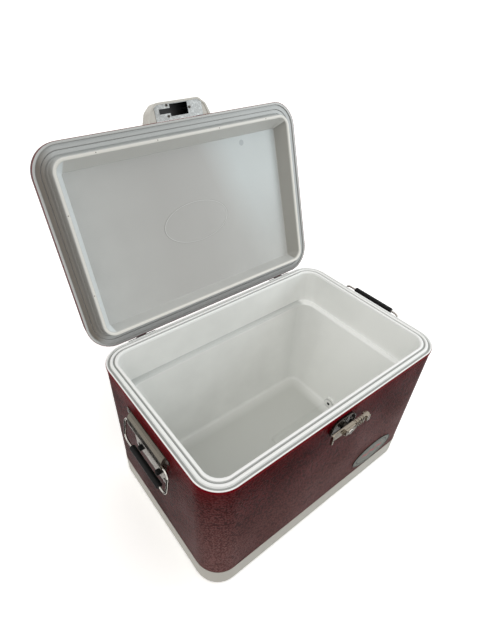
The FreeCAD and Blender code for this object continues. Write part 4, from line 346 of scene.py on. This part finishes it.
finishes = {
    "body_paint": lid_paint,
    # the lid pan's white, painted greyer than the liner's as painted shade
    "liner_plastic": moulded("pan_plastic_painted_shade", (0.555, 0.565, 0.55), 0.34),
    "tray_plastic": moulded("tray_plastic", (0.56, 0.54, 0.49), 0.5),
    "hood_plastic": moulded("hood_plastic", (0.62, 0.60, 0.55), 0.45),
    "black_plastic": moulded("black_plastic", (0.010, 0.010, 0.010), 0.4, Specular_IOR_Level=0.2),
    "seal_rubber": moulded("seal_rubber", (0.70, 0.70, 0.68), 0.6),
    "grip_rubber": moulded("grip_rubber", (0.007, 0.007, 0.007), 0.42, 700, 0.00006,
                           Specular_IOR_Level=0.15),
    "foam": moulded("foam", (0.85, 0.78, 0.55), 0.8),
    "drain_plastic": moulded("drain_plastic", (0.88, 0.88, 0.86), 0.36),
}
liner_paint = moulded("liner_plastic", (0.86, 0.87, 0.85), 0.36)
print(len(finishes), "finishes so far")

# %% [markdown]
# The liner's flat floor, the ledge along the back and the two grooves of its rim are darker with painted
# shade.
# Its back right corner lies in painted shade, and the end beside it, its ledge and the top of the rim are
# painted brighter as painted light. The drain's flange is a plain white ring with a line of painted shade
# round its edge, around a bore painted dark as painted shade.

# %% Liner and drain
# painted shade on the liner's flat floor
FLOOR_SHADE = (0.60, 0.61, 0.58)
FLOOR_SHADE_HEIGHT = (0.030, 0.042)                         # from full painted shade to none
FLOOR_HALF, FLOOR_CORNER = (0.226, 0.130), 0.03       # the flat floor, half its length and depth
FLOOR_SHADE_RING, FLOOR_SHADE_LEFT = (-0.035, 0.0), 0.25          # it thins out to this towards the floor's edge
LEDGE, LEDGE_AT = 0.266, (0.0015, 0.003)              # height of the inner ledge, half width and fade
LEDGE_SHADE = (0.62, 0.635, 0.62)                     # painted shade on the ledge along the back
LEDGE_RIGHT = (0.245, 0.255)                          # where the right end's ledge, in painted light, starts
CORNER_SHADE = (0.74, 0.75, 0.73)
SHADE_MIDDLE, SHADE_HALF = (0.250, 0.165), 0.012      # the shaded back right corner
SHADE_FADE = (0.060, 0.075)
SHADE_TOP = (LEDGE - 0.004, LEDGE + 0.002)
# painted light on the right end wall
RIGHT_WALL_LIGHT = (0.95, 0.96, 0.94)
RIGHT_WALL_START = (0.19, 0.23)
RIGHT_WALL_BACK = (-0.02, 0.09)
# painted light on the rim's top and on the ledge along the right end
RIM_LIGHT = (0.96, 0.97, 0.96)
RIM_HALF, RIM_CORNER = (0.2996, 0.1966), 0.0526
RIM_FOOT = 0.3475                                     # below the grooves, above the inner walls
GROOVES = ((-0.0053, 0.0014), (-0.0153, 0.0009))      # middle and half width, in from the rim's edge
GROOVE_FADE = 0.0014
GROOVE_SHADE = (0.36, 0.37, 0.36)                     # painted shade in the grooves between the sealing ridges
DRAIN_MIDDLE, DRAIN_BORE = (-0.0160, 0.0415), 0.0040  # back and up
DRAIN_RIM = 0.0095                                    # from the bore to the flange's edge
# painted shade in the drain's bore
DRAIN_BORE_SHADE = (0.03, 0.03, 0.028)
DRAIN_LINE, DRAIN_EDGE = (0.0004, 0.0008), (0.0003, 0.0009)


def shade_liner():
    tree, shader, at, colour = opened(liner_paint)
    x, y, height = axes(tree, at)
    # painted shade on the floor, in the back right corner, on the ledge along the back and in the rim's
    # grooves; painted light on the right end, its ledge and the rim's top
    from_edge = outside_by(tree, x, y, (0, 0), FLOOR_HALF, FLOOR_CORNER)
    floor_shaded = both(tree, falls(tree, height, *FLOOR_SHADE_HEIGHT),
                 between(tree, from_edge, 1.0, FLOOR_SHADE_LEFT, *FLOOR_SHADE_RING))
    colour = blend(tree, floor_shaded, colour, FLOOR_SHADE)
    back_corner = both(tree, band(tree, x, SHADE_MIDDLE[0], SHADE_HALF, SHADE_FADE[0]),
                       band(tree, y, SHADE_MIDDLE[1], SHADE_HALF, SHADE_FADE[1]),
                       falls(tree, height, *SHADE_TOP))
    colour = blend(tree, back_corner, colour, CORNER_SHADE)
    bright_end = both(tree, rises(tree, x, *RIGHT_WALL_START), falls(tree, y, *RIGHT_WALL_BACK))
    colour = blend(tree, bright_end, colour, RIGHT_WALL_LIGHT)
    ledge_colour = blend(tree, rises(tree, x, *LEDGE_RIGHT), LEDGE_SHADE, RIM_LIGHT)
    colour = blend(tree, band(tree, height, LEDGE, *LEDGE_AT), colour, ledge_colour)
    on_rim = sum_of(tree, height, RIM_FOOT, "GREATER_THAN")
    colour = blend(tree, on_rim, colour, RIM_LIGHT)
    rim_in = outside_by(tree, x, y, (0, 0), RIM_HALF, RIM_CORNER)
    for middle, half in GROOVES:
        in_groove = both(tree, on_rim, band(tree, rim_in, middle, half, GROOVE_FADE))
        colour = blend(tree, in_groove, colour, GROOVE_SHADE)
    tree.links.new(colour, shader.inputs["Base Color"])


def shade_drain():
    tree, shader, at, colour = opened(finishes["drain_plastic"])
    y, height = axes(tree, at)[1:]
    from_bore = outside_by(tree, y, height, DRAIN_MIDDLE, (DRAIN_BORE, DRAIN_BORE), DRAIN_BORE)
    # a line of painted shade round the flange's edge, and painted shade in the bore
    colour = blend(tree, band(tree, from_bore, DRAIN_RIM, *DRAIN_LINE), colour, LEDGE_SHADE)
    colour = blend(tree, falls(tree, from_bore, *DRAIN_EDGE), colour, DRAIN_BORE_SHADE)
    tree.links.new(colour, shader.inputs["Base Color"])


shade_liner()
shade_drain()
print("liner and drain shaded")

# %% [markdown]
# The hood over the latch is a moulded shell. A mask made of its places on the lid paints the hollow behind
# the keyhole plate black, as painted shade.

# %% Hood
HOLLOW_WIDE = (-0.0473, 0.0568)       # the hood's hollow, along the lid
HOLLOW_SLANT = 0.4205                 # the front of its slanted ends, up the lid
HOLLOW_NARROW = (-0.043, 0.051)       # where its front wall is straight
HOLLOW_FRONT = 0.4246                 # that front wall, up the lid
HOLLOW_DEEP = (0.0080, 0.0345)        # into the lid
HOLLOW_SHADE = (0.006, 0.006, 0.006)


def shade_hood():
    tree, shader, at, colour = opened(finishes["hood_plastic"])
    x = axes(tree, at)[0]
    up, into = along(tree, at, UP_THE_LID), along(tree, at, INTO_THE_LID)
    wide = both(tree, within(tree, x, *HOLLOW_WIDE), within(tree, up, 0.0, HOLLOW_SLANT))
    narrow = both(tree, within(tree, x, *HOLLOW_NARROW), within(tree, up, 0.0, HOLLOW_FRONT))
    hollow = both(tree, sum_of(tree, wide, narrow, "MAXIMUM"), within(tree, into, *HOLLOW_DEEP))
    # painted shade: the hollow is painted black
    tree.links.new(blend(tree, hollow, colour, HOLLOW_SHADE), shader.inputs["Base Color"])


shade_hood()
print("hood darkened inside")

# %% [markdown]
# The lid pan's light and shade are painted into its colour. Its raised plug ridge has a painted highlight
# along its crest, while the gasket groove around it and the band beside the hinges are in painted shade,
# darkest down the left side, and thin lines of painted shade mark its two steps. The walls around the panel
# and the panel itself carry painted light and painted shade. The moulder's ejector pins and the gate leave
# small round marks, and a plain oval ring is moulded in the middle of the panel, with a line of painted shade
# around it and a painted highlight on it.

# %% Shades of the lid pan
PLUG_MIDDLE, PLUG_HALF, PLUG_CORNER = (0, 0.1989), (0.2715, 0.1703), 0.027
LID_MIDDLE, LID_HALF, LID_CORNER = (0, 0.19865), (0.3005, 0.19675), 0.055
PANEL_MIDDLE, PANEL_HALF, PANEL_CORNER = (0, 0.1929), (0.2490, 0.1501), 0.004
CREST_IN = 0.0068                     # how far the plug ridge's crest reaches in from its outline
CREST_OUTER = (-0.0020, -0.0005)      # where its shade sets in, out from the outline
CREST_INNER = (-CREST_IN - 0.001, -CREST_IN + 0.001)
RECESS = (-CREST_IN - 0.0015, -CREST_IN + 0.0005)
PANEL_INSIDE, PANEL_OUTSIDE = (-0.0015, 0.0005), (-0.0005, 0.0010)
GROOVE_INSIDE, PLUG_OUTSIDE = (-0.0015, 0.0010), (-0.0010, 0.0010)
# painted highlight along the plug ridge's crest
CREST_HIGHLIGHT = (0.84, 0.83, 0.78)
WALL_LEFT_LIGHT = (0.86, 0.91, 0.92)        # painted light and shade on the walls around the panel
WALL_RIGHT_SHADE = (0.345, 0.34, 0.315)
WALL_TOP_LIGHT = (0.70, 0.70, 0.67)
WALL_LEFT_AT, WALL_RIGHT_AT = (-0.249, -0.246), (0.2465, 0.2495)
WALL_TOP_AT = (0.341, 0.344)
MITRE, MITRE_FADE = (0.249, 0.343), (-0.001, 0.001)      # where the right and the top wall meet
# painted shade in the gasket groove, darkest down the left side
PAN_GROOVE_SHADE = (0.50, 0.52, 0.515)
PAN_GROOVE_LEFT_SHADE = (0.205, 0.182, 0.155)
GROOVE_LEFT_AT = (-0.285, -0.255)
GROOVE_OUTSIDE = (-0.0058, -0.0046)   # the groove's outer side, in from the lid's outline
BAND_LOW_SHADE = (0.40, 0.41, 0.405)        # painted shade on the band beside the hinges
BAND_LOW_AT = (0.012, 0.030)
# lines of painted shade at the two steps
STEP_SHADE_LINE = (0.37, 0.37, 0.36)
STEP_LINES = (-0.0052, -0.0142)       # the two steps, in from the lid's outline
STEP_AT = (0.0003, 0.0008)            # half width and fade
PANEL_SOFT = (0.49, 0.49, 0.475)      # a soft shade left of the middle
PANEL_SOFT_AT = (-0.02, 0.05, 0.16)   # its middle, half width and fade
PANEL_CLEAR = (0.60, 0.645, 0.645)    # the clear light on the right
PANEL_CLEAR_AT = (0.035, 0.115)
PANEL_CLEAR_UP = (0.06, 0.26)
SWEEP_TOP, SWEEP_LEAN = 0.345, 0.35   # its left side leans, measured from the panel's top
PIN_MARKS = ((-0.188, 0.366), (-0.064, 0.366), (0.080, 0.366), (0.205, 0.366),
             (-0.2683, 0.275), (-0.2683, 0.123))
PIN_RADIUS, PIN_SHADE = 0.0011, (0.16, 0.13, 0.10)
GATE_MARK, GATE_RADIUS, GATE_SHADE = (0.153, 0.328), 0.0062, (0.46, 0.50, 0.51)
MARK_EDGE = (-0.0004, 0.0002)
OVAL_MIDDLE, OVAL_HALF = (0.004, 0.1929), (0.0828, 0.0428)
# a painted shadow line around the oval ring, and a painted highlight on it
OVAL_SHADOW_LINE, OVAL_LINE_AT = (0.40, 0.40, 0.385), (0.995, 0.003, 0.008)
OVAL_GLINT, OVAL_GLINT_AT = (0.68, 0.69, 0.68), (0.968, 0.004, 0.008)


def shade_panel(tree, x, up, on_panel, colour):
    """Paints a soft shade on the flat panel left of the middle and a clear light on its right."""
    sweep = sum_of(tree, x, both(tree, sum_of(tree, up, SWEEP_TOP, "SUBTRACT"), SWEEP_LEAN))
    colour = blend(tree, both(tree, on_panel, band(tree, x, *PANEL_SOFT_AT)), colour, PANEL_SOFT)
    clear = both(tree, on_panel, rises(tree, sweep, *PANEL_CLEAR_AT), rises(tree, up, *PANEL_CLEAR_UP))
    return blend(tree, clear, colour, PANEL_CLEAR)


def shade_walls(tree, x, up, in_recess, colour):
    """Paints light on the top and left walls around the panel and shade on the right one."""
    past_mitre = sum_of(tree, sum_of(tree, x, MITRE[0], "SUBTRACT"),
                        sum_of(tree, up, MITRE[1], "SUBTRACT"), "SUBTRACT")
    colour = blend(tree, both(tree, in_recess, rises(tree, up, *WALL_TOP_AT)), colour, WALL_TOP_LIGHT)
    right = both(tree, in_recess, rises(tree, x, *WALL_RIGHT_AT), rises(tree, past_mitre, *MITRE_FADE))
    colour = blend(tree, right, colour, WALL_RIGHT_SHADE)
    return blend(tree, both(tree, in_recess, falls(tree, x, *WALL_LEFT_AT)), colour, WALL_LEFT_LIGHT)


def shade_rim(tree, x, up, plug_out, lid_out, colour):
    """Paints shade in the groove, on the low band and at the two steps around the panel, and a highlight on
    the crest.
    """
    in_groove = both(tree, rises(tree, plug_out, *GROOVE_INSIDE), falls(tree, lid_out, *GROOVE_OUTSIDE))
    colour = blend(tree, in_groove, colour, PAN_GROOVE_SHADE)
    colour = blend(tree, both(tree, in_groove, falls(tree, x, *GROOVE_LEFT_AT)), colour, PAN_GROOVE_LEFT_SHADE)
    outside_plug = rises(tree, plug_out, *PLUG_OUTSIDE)
    colour = blend(tree, both(tree, outside_plug, falls(tree, up, *BAND_LOW_AT)), colour, BAND_LOW_SHADE)
    on_crest = both(tree, falls(tree, plug_out, *CREST_OUTER), rises(tree, plug_out, *CREST_INNER))
    colour = blend(tree, on_crest, colour, CREST_HIGHLIGHT)
    for line in STEP_LINES:
        colour = blend(tree, band(tree, lid_out, line, *STEP_AT), colour, STEP_SHADE_LINE)
    return colour


def mark_panel(tree, x, up, on_panel, colour):
    """The marks of the pins and the gate, and the oval ring with a painted shadow line around it and a
    painted highlight on it.
    """
    marks = [(pin, PIN_RADIUS, PIN_SHADE) for pin in PIN_MARKS] + [(GATE_MARK, GATE_RADIUS, GATE_SHADE)]
    for middle, radius, shade in marks:
        mark_out = outside_by(tree, x, up, middle, (radius, radius), radius)
        colour = blend(tree, falls(tree, mark_out, *MARK_EDGE), colour, shade)
    oval = around(tree, x, up, OVAL_MIDDLE, OVAL_HALF)[0]
    colour = blend(tree, both(tree, on_panel, band(tree, oval, *OVAL_LINE_AT)), colour, OVAL_SHADOW_LINE)
    return blend(tree, both(tree, on_panel, band(tree, oval, *OVAL_GLINT_AT)), colour, OVAL_GLINT)


def shade_pan():
    tree, shader, at, colour = opened(finishes["liner_plastic"])
    x = axes(tree, at)[0]
    up = along(tree, at, UP_THE_LID)
    plug_out = outside_by(tree, x, up, PLUG_MIDDLE, PLUG_HALF, PLUG_CORNER)
    lid_out = outside_by(tree, x, up, LID_MIDDLE, LID_HALF, LID_CORNER)
    panel_out = outside_by(tree, x, up, PANEL_MIDDLE, PANEL_HALF, PANEL_CORNER)
    on_panel = falls(tree, panel_out, *PANEL_INSIDE)
    in_recess = both(tree, falls(tree, plug_out, *RECESS), rises(tree, panel_out, *PANEL_OUTSIDE))
    colour = shade_panel(tree, x, up, on_panel, colour)
    colour = shade_walls(tree, x, up, in_recess, colour)
    colour = shade_rim(tree, x, up, plug_out, lid_out, colour)
    colour = mark_panel(tree, x, up, on_panel, colour)
    tree.links.new(colour, shader.inputs["Base Color"])


shade_pan()
print("lid pan shaded")

# %% [markdown]
# The metal parts are bare, plated or dark with age. A metal's look is nearly all reflection, so most of its
# pattern goes into its roughness. Each metal has clouds of its own size and the same fine skin. The keyhole
# plate is old zinc, which has a white bloom in patches.

# %% Metals
TARNISH = 0.82                      # the darkest clouds, of the metal's own colour
SKIN = 900                          # grains in a metre


def metal(name, colour, roughness, spread=0.08, per_metre=60, depth=0.00002):
    """Bare or plated metal with a cloudy gloss and a fine skin."""
    material, tree, shader = new_finish(name, colour, roughness, 1.0)
    at = place(tree)
    cloud = noise(tree, at, per_metre, 4, 0.6)
    tree.links.new(between(tree, cloud, max(0.02, roughness - spread), roughness + spread, *CLOUD),
                   shader.inputs["Roughness"])
    darker = [channel * TARNISH for channel in colour]
    tree.links.new(blend(tree, between(tree, cloud, 0, 1, *CLOUD), darker, colour),
                   shader.inputs["Base Color"])
    bumps(tree, shader, noise(tree, at, SKIN, 2), depth)
    return material


ZINC = (0.33, 0.335, 0.33)
BLOOM = (0.52, 0.53, 0.52)          # white bloom of old zinc
BLOOM_MOST, BLOOM_CLOUD = 0.70, (0.48, 0.66)
finishes.update({
    "dark_metal": metal("dark_metal", (0.075, 0.066, 0.058), 0.26),
    "bright_chrome": metal("bright_chrome", (0.58, 0.56, 0.52), 0.10, 0.04),
    "nickel": metal("nickel", (0.40, 0.355, 0.29), 0.20, 0.08, 90),
    "bracket_steel": metal("bracket_steel", (0.165, 0.148, 0.122), 0.27, 0.08, 70),
    "galvanised_steel": metal("galvanised_steel", ZINC, 0.42, 0.14, 150),
    "plate_zinc": metal("plate_zinc", ZINC, 0.42, 0.14, 150),
    "screw_steel": metal("screw_steel", (0.30, 0.29, 0.28), 0.3),
})


def bloom_zinc():
    tree, shader, at, colour = opened(finishes["plate_zinc"])
    bloom = between(tree, noise(tree, at, 260, 4, 0.7), 0.0, BLOOM_MOST, *BLOOM_CLOUD)
    tree.links.new(blend(tree, bloom, colour, BLOOM), shader.inputs["Base Color"])


bloom_zinc()
print(len(finishes), "finishes now")

# %% [markdown]
# The badge on the front is a worn metal oval, plain but for a dark line around it, a second one inside that,
# and a wavy red ribbon across its middle.

# %% Badge
BADGE_MIDDLE, BADGE_HALF = (0.160, 0.0885), (0.066, 0.033)      # across and up
BADGE_GREY = (0.115, 0.125, 0.105)
BADGE_PALE = (0.25, 0.26, 0.225)
BADGE_DARK = (0.035, 0.040, 0.034)
BADGE_LINES = ((0.80, 0.02, 0.02), (0.99, 0.03, 0.02))          # how far out, half width and fade
BADGE_MOTTLE, BADGE_GLOSS, BADGE_DEPTH = (0.35, 0.65), (0.32, 0.55), 0.0002
BADGE_RED = (0.38, 0.050, 0.058)
RIBBON_UP, RIBBON_LONG = (0.08, 0.07, 0.03), (0.0, 0.52, 0.05)  # middle, half size and fade
WAVES, WAVE_HEIGHT = 17.0, 0.10


def badge_metal():
    material, tree, shader = new_finish("badge_metal", BADGE_GREY, 0.45, 0.10, Specular_IOR_Level=0.15)
    at = place(tree)
    x, _, height = axes(tree, at)
    ring, across, high = around(tree, x, height, BADGE_MIDDLE, BADGE_HALF)
    mottle = noise(tree, at, 330, 4, 0.75)
    colour = blend(tree, rises(tree, mottle, *BADGE_MOTTLE), BADGE_DARK, BADGE_PALE)
    wave = both(tree, turned(tree, both(tree, across, WAVES), "SINE"), WAVE_HEIGHT)
    ribbon = both(tree, band(tree, sum_of(tree, high, wave), *RIBBON_UP), band(tree, across, *RIBBON_LONG))
    colour = blend(tree, ribbon, colour, BADGE_RED)
    for line in BADGE_LINES:
        colour = blend(tree, band(tree, ring, *line), colour, BADGE_DARK)
    tree.links.new(colour, shader.inputs["Base Color"])
    tree.links.new(between(tree, mottle, *BADGE_GLOSS), shader.inputs["Roughness"])
    bumps(tree, shader, mottle, BADGE_DEPTH)
    return material


finishes["badge_metal"] = badge_metal()
print("badge done")

# %% [markdown]
# Each slot of a piece names its material, and the finish of that name goes into it. A few pieces have a
# finish of their own instead.

# %% Give each piece its finish
OWN_FINISH = {
    "handle_bracket_left": finishes["bracket_steel"],
    "handle_bracket_right": finishes["bracket_steel"],
    # the lid gasket takes the lid pan's finish, and with it the painted shade of the groove
    "lid_gasket": finishes["liner_plastic"],
    "outer_shell": belt_paint,
    "inner_liner": liner_paint,
    "drain_spout": finishes["drain_plastic"],
    "plate_screws": finishes["dark_metal"],
    "hood_plate": finishes["plate_zinc"],
}
for name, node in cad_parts.items():
    for entry in node.material_slots:
        own = entry.material.name.split(".")[0]
        if own in finishes:
            entry.material = finishes[own]
        else:
            print("no finish for", name, own)
for name, finish in OWN_FINISH.items():
    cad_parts[name].material_slots[0].material = finish
print("every node has its finish")

# %% [markdown]
# The floor is a plain pale sheet. The camera and mirror reflections see a pure white sheet, while the light
# that the floor throws back onto the chest is a soft grey, as from a matt studio floor. Two dark cards lie on
# it, out of sight, so that the bright metal has something dark to mirror.

# %% Floor and cards
FLOOR_HALF_SIZE, FLOOR_DOWN = 200.0, -0.0005
FLOOR_SEEN = 1.5           # how white the sheet looks to the camera, before shadow
FLOOR_GREY = 0.30          # how much light it throws back
CARD_UP = 0.001
CARDS = {                  # middle and half size of each card on the floor
    "left_card": ((-0.55, 0.15), (0.13, 0.55)),
    "front_card": ((0.30, -0.46), (0.60, 0.13)),
}


def is_seen(tree):
    """One for what the camera sees, straight, mirrored or through glass, and nothing for plain light."""
    paths = add(tree, "LightPath")
    seen = sum_of(tree, paths.outputs["Is Camera Ray"], paths.outputs["Is Glossy Ray"], "MAXIMUM")
    return sum_of(tree, seen, paths.outputs["Is Transmission Ray"], "MAXIMUM")


def lay_sheet(name, middle, half, height, material):
    """A flat sheet of the given half size, lying level."""
    mesh = bpy.data.meshes.new(name)
    bm = bmesh.new()
    lie = Matrix.Translation((*middle, height)) @ Matrix.Diagonal((*half, 1, 1))
    bmesh.ops.create_grid(bm, x_segments=1, y_segments=1, size=1, matrix=lie)
    bm.to_mesh(mesh)
    bm.free()
    mesh.materials.append(material)
    sheet = bpy.data.objects.new(name, mesh)
    bpy.context.scene.collection.objects.link(sheet)
    return sheet


card_paint = new_finish("card_black", (0.01, 0.01, 0.01), 0.9)[0]
floor_paint = bpy.data.materials.new("floor_sheet")
floor_paint.use_nodes = True
tree = floor_paint.node_tree
tree.nodes.remove(tree.nodes["Principled BSDF"])
shown = blend(tree, is_seen(tree), (FLOOR_GREY,) * 3, (FLOOR_SEEN,) * 3)
matt = add(tree, "BsdfDiffuse", {"Color": shown})
tree.links.new(matt.outputs[0], tree.nodes["Material Output"].inputs["Surface"])

lay_sheet("floor", (0, 0), (FLOOR_HALF_SIZE, FLOOR_HALF_SIZE), FLOOR_DOWN, floor_paint)
for name, (middle, half) in CARDS.items():
    card = lay_sheet(name, middle, half, CARD_UP, card_paint)
    for kind in ("camera", "diffuse", "shadow", "transmission"):
        setattr(card, "visible_" + kind, False)
print("floor and", len(CARDS), "cards ready")

# %% [markdown]
# An even sky gives most of the light, a low soft window at the front right brightens what faces it, and a
# weak warm lamp stands high on the left. Where the camera sees the sky itself, it is plain white.

# %% Sky, window and lamp
SKY = 0.74
SKY_COLOUR = (1.0, 0.99, 0.975)
WINDOW_PLACE = Vector((1.45, -0.95, 0.95))
WINDOW_TARGET = Vector((0.05, 0.2, 0.5))
WINDOW_WIDE = 0.7
WINDOW_POWER = 7.0
WINDOW_COLOUR = (0.88, 0.96, 1.0)
LAMP_FROM = Vector((-0.62, -0.22, 0.75))
LAMP_STRENGTH = 0.52
LAMP_SPREAD = math.radians(50)
LAMP_COLOUR = (1.0, 0.97, 0.91)

world = bpy.data.worlds.new("studio")
bpy.context.scene.world = world
world.use_nodes = True
tree = world.node_tree
sky = tree.nodes["Background"]
seen = is_seen(tree)
tree.links.new(between(tree, seen, SKY, 1.0), sky.inputs["Strength"])
tree.links.new(blend(tree, seen, SKY_COLOUR, (1, 1, 1)), sky.inputs["Color"])

window_data = bpy.data.lights.new("window", "AREA")
window_data.shape = "SQUARE"
window_data.size = WINDOW_WIDE
window_data.energy = WINDOW_POWER
window_data.color = WINDOW_COLOUR
window = bpy.data.objects.new("window", window_data)
bpy.context.scene.collection.objects.link(window)
aim = (WINDOW_TARGET - WINDOW_PLACE).to_track_quat("-Z", "Y").to_matrix().to_4x4()
window.matrix_world = Matrix.Translation(WINDOW_PLACE) @ aim

lamp_data = bpy.data.lights.new("lamp", "SUN")
lamp_data.energy = LAMP_STRENGTH
lamp_data.angle = LAMP_SPREAD
lamp_data.color = LAMP_COLOUR
lamp = bpy.data.objects.new("lamp", lamp_data)
bpy.context.scene.collection.objects.link(lamp)
lamp.matrix_world = LAMP_FROM.to_track_quat("Z", "Y").to_matrix().to_4x4()
bpy.context.scene.view_settings.view_transform = "Standard"
print("sky, window and lamp ready")
